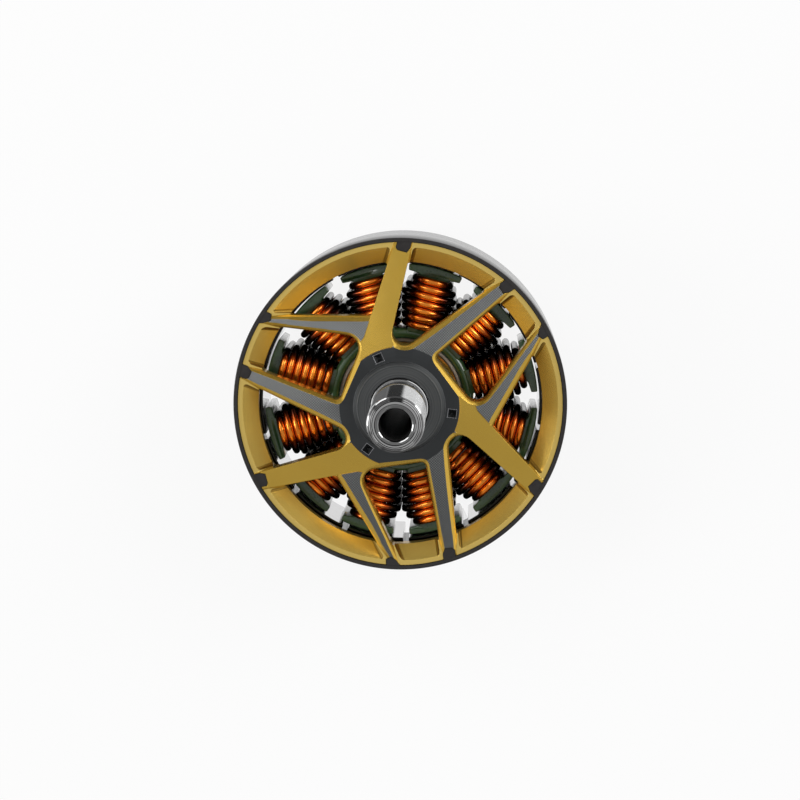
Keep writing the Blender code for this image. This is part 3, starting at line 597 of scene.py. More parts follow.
# Windows: (radius, angle) of each inner corner, with its fillet, and angles on the rim's opening
LARGE_CORNER = (4.22 * MM, radians(108.1))
MIDDLE_UPPER_CORNER = (5.48 * MM, radians(55.0))
MIDDLE_LOWER_CORNER = (7.07 * MM, radians(-2.9))
SMALL_CORNER = (8.6 * MM, radians(-12.4))
LARGE_FILLET = 1.15 * MM
MIDDLE_UPPER_FILLET = 0.5 * MM
MIDDLE_LOWER_FILLET = 1.2 * MM
SMALL_FILLET = 0.3 * MM
RIM_CORNER_FILLET = 0.4 * MM
WIDE_EDGE_ANGLE = radians(86.8)
STRAIGHT_UPPER_ANGLE = radians(53.3)
STRAIGHT_LOWER_ANGLE = radians(46.1)
BRANCH_UPPER_ANGLE = radians(26.8)
BRANCH_LOWER_ANGLE = radians(20.9)
WIDE_FAR_EDGE_ANGLE = radians(-25.2)
# inner corners with their fillets, then the rim angle and the edge bevel of the first and the last side
WINDOWS = (
    ([(LARGE_CORNER, LARGE_FILLET)], (STRAIGHT_UPPER_ANGLE, EDGE_BEVEL), (WIDE_EDGE_ANGLE, WIDE_BEVEL)),
    ([(MIDDLE_UPPER_CORNER, MIDDLE_UPPER_FILLET), (MIDDLE_LOWER_CORNER, MIDDLE_LOWER_FILLET)],
     (BRANCH_UPPER_ANGLE, EDGE_BEVEL), (STRAIGHT_LOWER_ANGLE, EDGE_BEVEL)),
    ([(SMALL_CORNER, SMALL_FILLET)], (WIDE_FAR_EDGE_ANGLE, WIDE_BEVEL), (BRANCH_LOWER_ANGLE, EDGE_BEVEL)),
)

# Pockets milled into the rim's slope, and the faces of the wide spokes
POCKET_FILLET = 0.32 * MM
POCKET_LEDGE = 0.16 * MM
GOLD_FACE_DEPTH = 0.08 * MM
GOLD_FACE_EDGE = 0.05 * MM
GOLD_FACE_STEPS_IN, GOLD_FACE_STEPS_OUT, GOLD_FACE_STEPS_ACROSS = 6, 8, 16

# Keys of the bell in the ring's lip, with half widths in millimetres: right and left, at foot, shoulder, tip
KEY_ANGLES = [radians(angle) for angle in (88.3, 47.8, 27.6)]
KEY_DIRECTIONS = [radians(angle) for angle in (75, 37, 58)]
KEY_TIP_RADII = (14.0 * MM, 13.9 * MM, 14.15 * MM)
KEY_SHOULDER_RADIUS = 14.3 * MM
KEY_HALF_WIDTHS = (
    ((0.62, 0.62, 0.42), (0.62, 0.62, 0.42)),
    ((0.55, 0.55, 0.3), (0.55, 0.55, 0.3)),
    ((0.62, 0.3, 0.2), (0.55, 0.42, 0.2)),
)

# Square balance pockets, in millimetres: (half width, height above the hub) of the bare edge and of the hole
BALANCE_RADIUS = 4.8
BALANCE_ANGLE = radians(-7)
BALANCE_EDGE = ((0.44, 0.1), (0.44, 0.0), (0.4, -0.07))
BALANCE_HOLE = ((0.4, 0.0), (0.36, -0.1), (0.03, -0.45))

# the land, slope and nook slots hold the gold copies with painted light and painted shade
BELL_MATERIALS = (GOLD, CHARCOAL, BEARING_STEEL, GOLD_LAND_PAINTED_LIGHT, GOLD_SLOPE_PAINTED_LIGHT, GOLD_NOOK_PAINTED_SHADE)
GOLD_SLOT, CHARCOAL_SLOT, BARE_SLOT, LAND_SLOT, SLOPE_SLOT, NOOK_SLOT = range(len(BELL_MATERIALS))


# Bell: construction

def spoke_top(radius):
    share = (rim_slope_radius - radius) / (rim_slope_radius - HUB_DISC_RADIUS)
    return rim_z + SPOKE_RISE * min(max(share, 0), 1)


def onto_circle(start, along, radius):
    """Where a line meets a circle about the shaft."""
    middle = start.dot(along)
    return start + along * (sqrt(radius ** 2 - start.length_squared + middle ** 2) - middle)


def on_rim(corner, rim_angle, radius, aside=0.0):
    """Where a spoke's edge, moved aside by that much, meets a circle about the shaft."""
    start = polar(*corner)
    along = (polar(rim_opening_radius, rim_angle) - start).normalized()
    return onto_circle(start + Vector((-along.y, along.x)) * aside, along, radius)


def window_outline(inner_corners, first, last):
    start, end = first[0], last[0]
    rim = arc(AXIS, rim_opening_radius, start, end, round((end - start) / RIM_STEP))
    corners = [(polar(*corner), fillet) for corner, fillet in inner_corners]
    corners.append((rim[0], RIM_CORNER_FILLET))
    corners += [(point, 0) for point in rim[1:-1]]
    corners.append((rim[-1], RIM_CORNER_FILLET))
    return rounded(corners, FILLET_STEPS)


def outline_bevels(outline, inner_corners, first, last):
    """The edge bevel at each point of a window: it runs out where the wide spoke's edge begins."""
    bevels = [EDGE_BEVEL] * len(outline)
    for corner, (rim_angle, bevel) in ((inner_corners[-1][0], first), (inner_corners[0][0], last)):
        if bevel == EDGE_BEVEL:
            continue
        start = polar(*corner)
        along = (polar(rim_opening_radius, rim_angle) - start).normalized()
        for i, point in enumerate(outline):
            aside = abs((point - start).cross(along)) if (point - start).dot(along) > 0 else start.length
            bevels[i] = min(bevels[i], bevel + (EDGE_BEVEL - bevel) * smooth_step(aside, 0, BEVEL_RUN_OUT))
    return bevels


def add_window(bm, outline, bevels):
    """A cutter with the window's walls and the two faces of its bevelled edge."""
    over = BEVEL_OVERCUT - 1
    middle = grown(outline, [bevel * BEVEL_ACROSS for bevel in bevels])
    wide = grown(outline, [bevel * BEVEL_OVERCUT for bevel in bevels])
    foot, shoulder, brow = [], [], []
    for p, m, w, bevel in zip(outline, middle, wide, bevels):
        top = spoke_top(p.length)
        foot.append((p.x, p.y, top - bevel))
        shoulder.append((m.x, m.y, top - bevel + bevel * BEVEL_ACROSS * STEEP_FACE))
        brow.append((w.x, w.y, top + bevel * over * FLAT_FACE))
    bottom = at_height(outline, min(hub_foot_z, rim_foot_z) - EDGE_BEVEL)
    add_stack(bm, [bottom, foot, shoulder, brow, at_height(wide, shaft_top)])


def rim_cut_end(corner, rim_angle, columns, side):
    """A rim cut's sections beside one spoke, as (radius, angle, height) points."""
    sections = []
    for column in columns:
        section = []
        for radius, height, inset in column:
            edge = on_rim(corner, rim_angle, radius, side * inset)
            section.append((radius, atan2(edge.y, edge.x), height))
        sections.append(section)
    return sections


def add_rim_cut(bm, window, turn, columns, floor_slot, end_slot):
    """A cutter that follows the rim, between the ends that columns shapes beside the window's two spokes."""
    inner_corners, (first_angle, first_bevel), (last_angle, last_bevel) = window
    first = rim_cut_end(inner_corners[-1][0], first_angle, columns(first_bevel), 1)
    last = rim_cut_end(inner_corners[0][0], last_angle, columns(last_bevel), -1)[::-1]
    steps = max(3, round((last_angle - first_angle) / RIM_STEP))
    middle = []
    for i in range(1, steps):
        pairs = zip(first[-1], last[0])
        middle.append([(radius, a + (b - a) * i / steps, z) for (radius, a, z), (_, b, _) in pairs])
    loops = add_loops(bm, [[(*polar(radius, turn + angle), z) for radius, angle, z in section]
                           for section in first + middle + last])
    strips, ends = len(loops) - 1, len(first) - 1
    slots = [floor_slot if ends <= i < strips - ends else end_slot for i in range(strips)]
    join_loops(bm, loops, False, slots)
    add_caps(bm, loops)


def rim_level_columns(bevel):
    """Mills the land down to its level, as far as the spokes' bevelled edges."""
    radii = (rim_opening_radius - OVERCUT, rim_slope_radius, rim_radius + OVERCUT)
    rise = bevel * (BEVEL_OVERCUT - 1) * FLAT_FACE
    fall = bevel * (1 - BEVEL_DOWN)
    brow = [(radius, spoke_top(radius) + rise, -bevel * BEVEL_OVERCUT) for radius in radii]
    shoulder = [(radius, spoke_top(radius) - fall, -bevel * BEVEL_ACROSS) for radius in radii]
    foot = [(radius, land_z, inset + (height - land_z) / STEEP_FACE) for radius, height, inset in shoulder]
    columns = []
    for edge in (brow, shoulder, foot):
        columns.append(edge + [(radius, hub_z, inset) for radius, _, inset in reversed(edge)])
    return columns


def rim_pocket_columns(_):
    """Mills the slope between two spokes, with a fillet up each end beside a narrow ledge."""
    fall = (RIM_LIP_HEIGHT - LAND_STEP) / RIM_SLOPE_WIDTH
    inner = rim_opening_radius - OVERCUT
    top = land_z + fall * OVERCUT
    columns = []
    for step in range(FILLET_STEPS + 1):
        angle = pi / 2 * (1 - step / FILLET_STEPS)
        inset = POCKET_LEDGE + POCKET_FILLET * (1 - sin(angle))
        lift = POCKET_FILLET * (1 - cos(angle))
        columns.append([
            (inner, rim_z - RIM_LIP_HEIGHT - fall * OVERCUT + lift, inset),
            (rim_slope_radius + OVERCUT - lift / fall, top, inset),
            (inner, top, inset),
        ])
    return columns


def add_gold_face(bm, turn):
    """A cutter that lays a wide spoke's face a little below the charcoal ones."""
    ahead = REPEATS[1]
    small, lower, upper = (polar(radius, angle + ahead) for radius, angle in
                           (SMALL_CORNER, MIDDLE_LOWER_CORNER, MIDDLE_UPPER_CORNER))
    far_edge = (polar(rim_opening_radius, WIDE_FAR_EDGE_ANGLE + ahead) - small).normalized()
    hub_edge = (lower - upper).normalized()
    inner = HUB_DISC_RADIUS + GOLD_FACE_EDGE
    outer = rim_radius + OVERCUT
    past_corner = small.length + 2 * OVERCUT
    radii_in = [HUB_DISC_RADIUS] + between(inner, lower.length, GOLD_FACE_STEPS_IN)[:-1]
    radii_out = between(past_corner, outer, GOLD_FACE_STEPS_OUT)
    stations = [(radius, onto_circle(lower, hub_edge, radius), OVERCUT) for radius in radii_in]
    stations += [(lower.length, lower, 0), (small.length, small, 0)]
    stations += [(radius, onto_circle(small, far_edge, radius), OVERCUT) for radius in radii_out]
    sections = []
    for radius, left, past in stations:
        right = on_rim(LARGE_CORNER, WIDE_EDGE_ANGLE, radius)
        start = atan2(right.y, right.x) - OVERCUT / radius
        end = atan2(left.y, left.x) + past / radius
        depth = GOLD_FACE_DEPTH if radius > HUB_DISC_RADIUS else -SKIN
        face = arc(AXIS, radius, turn + start, turn + end, GOLD_FACE_STEPS_ACROSS)
        sections.append(at_height(face, spoke_top(radius) - depth) + at_height(reversed(face), shaft_top))
    add_stack(bm, sections)


def key_outline(index, margin):
    """Corners of a key, from its foot in the ring inwards to the end of the spoke's face and out again."""
    along = polar(1, KEY_DIRECTIONS[index])
    side = Vector((along.y, -along.x))
    middle = polar(ring_pocket_radius, KEY_ANGLES[index])
    tip = onto_circle(middle, along, KEY_TIP_RADII[index] - margin)
    sides = []
    for sign, halves in zip((1, -1), KEY_HALF_WIDTHS[index]):
        at_foot, at_shoulder, at_tip = (side * (sign * (half * MM + margin)) for half in halves)
        foot = onto_circle(middle + at_foot, along, ring_pocket_radius + RING_LIP / 2)
        shoulder = onto_circle(middle + at_shoulder, along, KEY_SHOULDER_RADIUS)
        sides.append([tip + at_tip, shoulder, foot])
    right, left = sides
    return right + left[::-1]


def add_keys(bm, margin, top):
    for turn in REPEATS:
        for index in range(len(KEY_ANGLES)):
            add_prism(bm, about_shaft(key_outline(index, margin), turn), rim_foot_z - RIM_LAND, top)


def add_balance_pockets(bm, shape, slot):
    for turn in REPEATS:
        sections = []
        for half, height in reversed(shape):
            square = [Vector((BALANCE_RADIUS + x * half, y * half)) * MM
                      for x, y in ((-1, -1), (1, -1), (1, 1), (-1, 1))]
            sections.append(at_height(about_shaft(square, BALANCE_ANGLE + turn), hub_z + height * MM))
        add_stack(bm, sections, slot)


def make_bell():
    gold_profile = [
        (hub_bore_radius, hub_foot_z),
        (hub_bore_radius + HUB_FOOT_WALL, hub_foot_z),
        (hub_bore_radius + HUB_FOOT_WALL, underside_z),
        (HUB_DISC_RADIUS, underside_z + UNDERSIDE_RISE),
        (rim_opening_radius - RIM_LAND, underside_z),
        (rim_opening_radius - RIM_LAND, rim_foot_z + RIM_LAND),
        (rim_opening_radius, rim_foot_z),
        (rim_radius, rim_foot_z),
        (rim_radius, rim_z),
    ]
    charcoal_profile = [
        (rim_slope_radius, rim_z),
        (HUB_DISC_RADIUS, hub_z),
        (BOSS_RADIUS, hub_z),
        (BOSS_RADIUS - BOSS_HEIGHT * BOSS_SLOPE, boss_z),
        (hub_bore_radius + HUB_BORE_EDGE, boss_z),
        (hub_bore_radius, boss_z - HUB_BORE_EDGE),
    ]
    slots = [GOLD_SLOT] * len(gold_profile) + [CHARCOAL_SLOT] * len(charcoal_profile)
    bm = bmesh.new()
    add_turned(bm, gold_profile + charcoal_profile, BELL_SEGMENTS, slots)
    bell = make_object("bell_milled", bm, BELL_MATERIALS)
    windows, levels, pockets, gold_faces, notches, edges, holes = (bmesh.new() for _ in range(7))
    for turn in REPEATS:
        for window in WINDOWS:
            outline = window_outline(*window)
            add_window(windows, about_shaft(outline, turn), outline_bevels(outline, *window))
            add_rim_cut(levels, window, turn, rim_level_columns, LAND_SLOT, GOLD_SLOT)
            add_rim_cut(pockets, window, turn, rim_pocket_columns, SLOPE_SLOT, NOOK_SLOT)
        add_gold_face(gold_faces, turn)
    add_keys(notches, SEAT_GAP, rim_z + RIM_LAND)
    add_balance_pockets(edges, BALANCE_EDGE, BARE_SLOT)
    add_balance_pockets(holes, BALANCE_HOLE, CHARCOAL_SLOT)
    for bm in (windows, levels, pockets, gold_faces, notches, edges, holes):
        cut(bell, bm)
    shade(bell.data, BELL_SHARP_ANGLE)
    piece(bell, "rotor", "bell")


# Flux ring and magnets

RING_EDGE = 0.07 * MM
RING_SOFTENING = 0.05 * MM
MAGNET_COUNT = 14
MAGNET_FIRST_ANGLE = radians(2)
MAGNET_THICKNESS = 1.22 * MM
MAGNET_HALF_SPACING = 0.25 * MM
MAGNET_EDGE = 0.12 * MM
MAGNET_STEPS = 16


def make_ring():
    bottom, foot = low("flux_ring"), rim_foot_z - SEAT_GAP
    broken = RING_EDGE * BREAK_SHARE
    bm = bmesh.new()
    add_turned(bm, [
        (ring_inner_radius, bottom + RING_EDGE),
        (ring_inner_radius + RING_EDGE, bottom),
        (BELL_RADIUS - RING_EDGE, bottom),
        (BELL_RADIUS - broken, bottom + broken),
        (BELL_RADIUS, bottom + RING_EDGE),
        (BELL_RADIUS, rim_z - RING_EDGE),
        (BELL_RADIUS - broken, rim_z - broken),
        (BELL_RADIUS - RING_EDGE, rim_z),
        (ring_pocket_radius, rim_z),
        (ring_pocket_radius, foot),
        (ring_inner_radius, foot),
    ], BELL_SEGMENTS)
    ring = make_object("flux_ring_coated", bm, (RING_BLACK,))
    keys = bmesh.new()
    add_keys(keys, 0, rim_z - SEAT_GAP)
    cut(ring, keys, "UNION")
    soften(ring, RING_SOFTENING)
    piece(ring, "rotor", "flux_ring")


def make_magnets():
    outer = ring_inner_radius - SEAT_GAP
    inner = outer - MAGNET_THICKNESS
    half = pi / MAGNET_COUNT - MAGNET_HALF_SPACING / inner
    for i in range(MAGNET_COUNT):
        name = f"magnet_{i + 1:02d}"
        middle = MAGNET_FIRST_ANGLE + 2 * pi * i / MAGNET_COUNT
        start, end = middle - half, middle + half
        outline = arc(AXIS, outer, start, end, MAGNET_STEPS) + arc(AXIS, inner, end, start, MAGNET_STEPS)
        bm = bmesh.new()
        add_prism(bm, outline, low(name), high(name))
        magnet = soften(make_object(name + "_plated", bm, (NICKEL,)), MAGNET_EDGE, 3)
        piece(magnet, "rotor", name)


# Shaft

SHAFT_SEGMENTS = 144
SHAFT_SHARP_ANGLE = radians(24)
SHAFT_BORE = 1.38 * MM
SHAFT_FOOT_EDGE = 0.25 * MM
BORE_FOOT_EDGE = 0.15 * MM
COLLAR_EDGE = 0.03 * MM
SHANK_LENGTH = 3.1 * MM
SHANK_RADIUS = 2.47 * MM
SHANK_EDGE = 0.12 * MM
SHANK_END_RADIUS = 2.4 * MM
RELIEF_RADIUS = 2.15 * MM
RELIEF_STEP = 0.1 * MM
RELIEF_LENGTH = 0.3 * MM
# grooved seat ring between collar and shank, as (radius, height above the collar) in millimetres
SEAT_RINGS = ((2.6, 0.06), (2.58, 0.13), (2.53, 0.17), (2.47, 0.17), (2.45, 0.1), (2.43, 0.1), (2.42, 0.2))
# ringed tip from the thread to the bore, as (radius, depth below the shaft's end) in millimetres
TIP_RINGS = ((2.44, 0.42), (2.33, 0.36), (2.31, 0.4), (2.17, 0.28), (2.15, 0.32), (2.03, 0.2), (2.01, 0.24),
             (1.87, 0.05), (1.83, 0.0), (1.79, 0.0), (1.73, 0.14), (1.62, 0.14), (1.6, 0.05), (1.52, 0.07),
             (1.45, 0.12), (SHAFT_BORE / MM, 0.24))

# Thread: its root, flank and flat crest are shares of the pitch
THREAD_CREST = 2.5 * MM
THREAD_PITCH = 0.8 * MM
THREAD_DEPTH = 0.42 * MM
THREAD_ROOT, THREAD_FLANK, THREAD_FLAT = 0.12, 0.36, 0.16
THREAD_MARKS = (0.0, 0.06, 0.12, 0.24, 0.36, 0.48, 0.56, 0.64, 0.76, 0.88)
THREAD_END_DEPTH = 0.44 * MM
THREAD_END_RADIUS = 2.42 * MM
WELD_DISTANCE = 0.0005 * MM


def thread_radius(share):
    """Distance of the thread's surface from the axis, at a share of its pitch."""
    crest_start = THREAD_ROOT + THREAD_FLANK
    crest_end = crest_start + THREAD_FLAT
    if share < THREAD_ROOT:
        return THREAD_CREST - THREAD_DEPTH
    if share < crest_start:
        return THREAD_CREST - THREAD_DEPTH * (1 - (share - THREAD_ROOT) / THREAD_FLANK)
    if share < crest_end:
        return THREAD_CREST
    return THREAD_CREST - THREAD_DEPTH * (share - crest_end) / THREAD_FLANK


def thread_sections(start, end):
    """Rings of points that climb by one pitch a turn and are held level at both ends of the thread."""
    sections = []
    for turn in range(-1, ceil((end - start) / THREAD_PITCH) + 1):
        for mark in THREAD_MARKS:
            section = []
            for i in range(SHAFT_SEGMENTS):
                around = i / SHAFT_SEGMENTS
                raw = start + THREAD_PITCH * (turn + mark + around)
                height = min(max(raw, start), end)
                share = mark if raw == height else ((height - start) / THREAD_PITCH - around) % 1.0
                radius = min(thread_radius(share), RELIEF_RADIUS + (height - start),
                             THREAD_END_RADIUS + (end - height))
                section.append((*polar(radius, 2 * pi * i / SHAFT_SEGMENTS), height))
            sections.append(section)
    return sections


def make_shaft():
    bottom = low("shaft")
    groove_radius = SHAFT_RADIUS - CLIP_GROOVE
    clip_low, clip_high = low("retaining_clip") - SEAT_GAP, high("retaining_clip") + SEAT_GAP
    collar_top = boss_z - HUB_BORE_EDGE
    shank_top = collar_top + SHANK_LENGTH
    thread_start = shank_top + RELIEF_LENGTH
    foot = [
        (SHAFT_BORE, bottom + BORE_FOOT_EDGE),
        (SHAFT_BORE + BORE_FOOT_EDGE, bottom),
        (SHAFT_RADIUS - SHAFT_FOOT_EDGE, bottom),
        (SHAFT_RADIUS, bottom + SHAFT_FOOT_EDGE),
        (SHAFT_RADIUS, clip_low),
        (groove_radius, clip_low),
        (groove_radius, clip_high),
        (SHAFT_RADIUS, clip_high),
        (SHAFT_RADIUS, hub_foot_z),
        (COLLAR_RADIUS, hub_foot_z),
        (COLLAR_RADIUS, collar_top - COLLAR_EDGE),
        (COLLAR_RADIUS - COLLAR_EDGE, collar_top),
        *[(radius * MM, collar_top + height * MM) for radius, height in SEAT_RINGS],
    ]
    shank = [
        (SHANK_RADIUS, shank_top - SHANK_EDGE),
        (SHANK_END_RADIUS, shank_top),
        (RELIEF_RADIUS, shank_top + RELIEF_STEP),
        (RELIEF_RADIUS, thread_start),
    ]
    tip = [(radius * MM, shaft_top - depth * MM) for radius, depth in TIP_RINGS]
    bm = bmesh.new()
    loops = add_loops(bm, [
        *turned_sections(foot + shank, SHAFT_SEGMENTS),
        *thread_sections(thread_start, shaft_top - THREAD_END_DEPTH),
        *turned_sections(tip, SHAFT_SEGMENTS),
    ])
    polished_slot, bore_slot, shank_slot = range(3)
    slots = [polished_slot] * len(loops)
    # the bore wall takes the painted shade
    slots[-1] = bore_slot
    slots[len(foot) - 1] = shank_slot
    join_loops(bm, loops, True, slots)
    bmesh.ops.remove_doubles(bm, verts=bm.verts, dist=WELD_DISTANCE)
    bmesh.ops.dissolve_degenerate(bm, edges=bm.edges, dist=WELD_DISTANCE)
    shaft = make_object("shaft_threaded", bm, (SHAFT_STEEL, BORE_PAINTED_SHADE, BEARING_STEEL), SHAFT_SHARP_ANGLE)
    piece(shaft, "rotor", "shaft")


# Stator core

TOOTH_ANGLES = [radians(15 + 30 * i) for i in range(TOOTH_COUNT)]
CORE_BORE = 5.42 * MM
BARE_RADIUS = 5.74 * MM
BARE_STEP = 0.1 * MM
YOKE_RADIUS = 6.66 * MM
YOKE_ROUNDING = 0.42 * MM
YOKE_STEPS = 12
CORE_SEGMENTS = 144
CORE_SHARP_ANGLE = radians(40)
STATOR_RADIUS = 12.62 * MM
SLOT_HALF_OPENING = 0.75 * MM
SHOE_INNER = 11.75 * MM
SHOE_FLARE = 0.3 * MM
TOOTH_ROOT = 6.3 * MM
TOOTH_HALF = 1.15 * MM
NECK_FILLET = 0.5 * MM
SHOE_INNER_FILLET = 0.12 * MM
SHOE_OUTER_FILLET = 0.16 * MM
COAT_ROUNDING = 0.32 * MM
COAT_ANGLE = radians(60)


def tooth_outline():
    """A tooth along +X: its neck, and a shoe that flares to a narrow slot on each side."""
    half_shoe = HALF_TOOTH_ANGLE - SLOT_HALF_OPENING / STATOR_RADIUS
    rim = arc(AXIS, STATOR_RADIUS, -half_shoe, half_shoe, 16)
    side = [
        (rim[-1], SHOE_OUTER_FILLET),
        (polar(SHOE_INNER + SHOE_FLARE, half_shoe), SHOE_INNER_FILLET),
        (Vector((SHOE_INNER, TOOTH_HALF)), NECK_FILLET),
        (Vector((TOOTH_ROOT, TOOTH_HALF)), 0),
    ]
    mirrored = [(Vector((point.x, -point.y)), fillet) for point, fillet in reversed(side)]
    return rounded(mirrored + [(point, 0) for point in rim[1:-1]] + side, 4)


def make_core():
    bottom, top = low("stator_core"), high("stator_core")
    middle, half = (BARE_RADIUS + YOKE_RADIUS) / 2, (YOKE_RADIUS - BARE_RADIUS) / 2
    profile = [(CORE_BORE, bottom + BARE_STEP), (BARE_RADIUS, bottom + BARE_STEP)]
    for sign, level in ((-1, bottom + YOKE_ROUNDING), (1, top - YOKE_ROUNDING)):
        dome = [(middle + half * cos(a), level + sign * YOKE_ROUNDING * sin(a))
                for a in between(0, pi, YOKE_STEPS)]
        profile += reversed(dome) if sign < 0 else dome
    profile += [(BARE_RADIUS, top - BARE_STEP), (CORE_BORE, top - BARE_STEP)]
    coated_slot, bare_slot = range(2)
    slots = [bare_slot] + [coated_slot] * (len(profile) - 3) + [bare_slot] * 2
    bm = bmesh.new()
    add_turned(bm, profile, CORE_SEGMENTS, slots)
    core = make_object("stator_core_coated", bm, (STATOR_GREEN, LAMINATIONS))
    teeth = bmesh.new()
    for angle in TOOTH_ANGLES:
        add_prism(teeth, about_shaft(tooth_outline(), angle), bottom, top)
    comb = soften(make_object("teeth", teeth, (STATOR_GREEN, LAMINATIONS)), COAT_ROUNDING, 5, COAT_ANGLE)
    combine(core, settle(comb), "UNION")
    shade(core.data, CORE_SHARP_ANGLE)
    piece(core, "stator", "stator_core")


# Windings

WIRE_RADIUS = 0.33 * MM
WIRE_PITCH = 0.71 * MM
WIRE_GAP = 0.05 * MM
WIRE_SIDES = 12
WIRE_SHARP_ANGLE = radians(60)
STEPS_PER_TURN = 48
CROSSING_SHARE = 0.25    # the part of a turn in which the wire moves on to its next place
UNDER_TURNS, TURNS = 3, 7
UNDER_PITCH = 0.83 * MM
UNDER_OUTER = 10.9 * MM
WINDING_INNER = 7.06 * MM
CLIMB_START, CLIMB_END = 7.3 * MM, 8.3 * MM
LAYER_STEP = 1.75        # from one layer to the next, in wire radii
UPPER_HALF_WIDTH = 2.34 * MM
NARROWING = 0.75 * MM
NARROWING_START, NARROWING_END = 10.0 * MM, 11.5 * MM
NEIGHBOUR_GAP = 0.015 * MM
CROWN_GAP = 0.08 * MM
CROWN_RADIUS = 2.5 * MM
CROWN_SHARE = 0.6        # where the crown begins, as a share of the core's half height
CROWN_REACH = 1.4        # where it levels off, in squares of a tooth's half width
TURN_CORNER = 1.0 * MM
TURN_CORNER_SHARE = 0.8
core_middle_z = (high("stator_core") + low("stator_core")) / 2
core_half_height = (high("stator_core") - low("stator_core")) / 2


def wire_spot(x, share, layer):
    """One point of the wire round its tooth, a quarter of the turn each: under it, up, over it and down."""
    quarter = min(int(share * 4), 3)
    way = 2 * (share * 4 - quarter) - 1
    across, rise = ((way, -1), (1, way), (-way, 1), (-1, -way))[quarter]
    step = WIRE_GAP + WIRE_RADIUS + layer * LAYER_STEP * WIRE_RADIUS
    width = TOOTH_HALF + step
    if layer:
        width = UPPER_HALF_WIDTH - NARROWING * smooth_step(x, NARROWING_START, NARROWING_END)
    half_slot = x * tan(HALF_TOOTH_ANGLE) - WIRE_RADIUS / cos(HALF_TOOTH_ANGLE)
    width = min(width, half_slot - NEIGHBOUR_GAP)
    height = core_half_height + step + CROWN_GAP
    corner = min(width * TURN_CORNER_SHARE, TURN_CORNER)
    y, z = across * width, rise * height
    # the square path is pulled onto its rounded corners, then its top and bottom are crowned
    over_y, over_z = abs(y) - (width - corner), abs(z) - (height - corner)
    if over_y > 0 and over_z > 0:
        angle = atan2(over_z, over_y)
        y = copysign(width - corner + corner * cos(angle), y)
        z = copysign(height - corner + corner * sin(angle), z)
    crown_start = core_half_height * CROWN_SHARE
    if abs(z) > crown_start:
        sink = min(y * y, TOOTH_HALF * TOOTH_HALF * CROWN_REACH) / (2 * CROWN_RADIUS)
        z -= copysign(sink * smooth_step(abs(z), crown_start, core_half_height), z)
    return Vector((x, y, core_middle_z + z))


def winding_path():
    """The wire's middle line round one tooth: a lower layer inwards, then an upper layer outwards.

    The wire moves on to its next place while it passes under the tooth."""
    places = [(UNDER_OUTER - UNDER_PITCH * k, 0.0) for k in range(UNDER_TURNS + 1)]
    for k in range(TURNS):
        x = WINDING_INNER + WIRE_PITCH * k
        places.append((x, smooth_step(x, CLIMB_START, CLIMB_END)))
    path = []
    for (x, layer), (next_x, next_layer) in zip(places, places[1:]):
        for step in range(STEPS_PER_TURN):
            share = step / STEPS_PER_TURN
            way = smooth_step(share, 0.0, CROSSING_SHARE)
            path.append(wire_spot(x + (next_x - x) * way, share, layer + (next_layer - layer) * way))
    return path


def add_tube(bm, path, radius, sides):
    sections = []
    for i, point in enumerate(path):
        ahead = (path[min(i + 1, len(path) - 1)] - path[max(i - 1, 0)]).normalized()
        side = ahead.cross(Vector((1, 0, 0))).normalized()
        up = side.cross(ahead)
        sections.append([point + (side * cos(a) + up * sin(a)) * radius
                         for a in between(0, 2 * pi, sides)[:-1]])
    loops = add_loops(bm, sections)
    join_loops(bm, loops, False)
    add_caps(bm, loops)


def make_coils():
    path = winding_path()
    for i, angle in enumerate(TOOTH_ANGLES):
        name = f"coil_{i + 1:02d}"
        bm = bmesh.new()
        add_tube(bm, path, WIRE_RADIUS, WIRE_SIDES)
        bmesh.ops.rotate(bm, verts=bm.verts, matrix=Matrix.Rotation(angle, 3, "Z"))
        coil = make_object(name + "_wound", bm, (COPPER,), WIRE_SHARP_ANGLE)
        piece(coil, "stator", name)


# Base

ARM_ANGLES = [radians(45 + 90 * i) for i in range(4)]
ARM_HALF = 2.8 * MM
ARM_STEPS, ARM_FILLET_STEPS, FLANGE_STEPS = 32, 8, 20
ARM_FILLET = 1.1 * MM
FLANGE_RADIUS = 6.74 * MM
BASE_TOP = 2.3 * MM
BASE_EDGE = 0.3 * MM
BASE_SHARP_ANGLE = radians(30)
BOLT_CIRCLE = 8.0 * MM
BOLT_SEGMENTS = 48
# countersunk bolt hole as (radius, height) in millimetres, cut well past both faces
BOLT_HOLE = ((1.8, -1.0), (1.8, 0.0), (1.6, 0.2), (1.6, 2.1), (1.8, 2.3), (1.8, 3.3))
TUBE_SEGMENTS = 160
TUBE_INNER = BEARING_RADIUS + SEAT_GAP
TUBE_RADIUS = TUBE_INNER + 0.84 * MM
TUBE_EDGE = 0.1 * MM
TUBE_OVERLAP = 0.2 * MM
TUBE_MOUTH = 0.12 * MM
TUBE_STEP = 0.6 * MM
SHOULDER_WIDTH = 0.8 * MM
LEDGE_RADIUS = BEARING_RADIUS - 0.8 * MM
LEDGE_HEIGHT = 2 * MM
LEDGE_EDGE = 0.15 * MM
CUT_PAST = 1 * MM


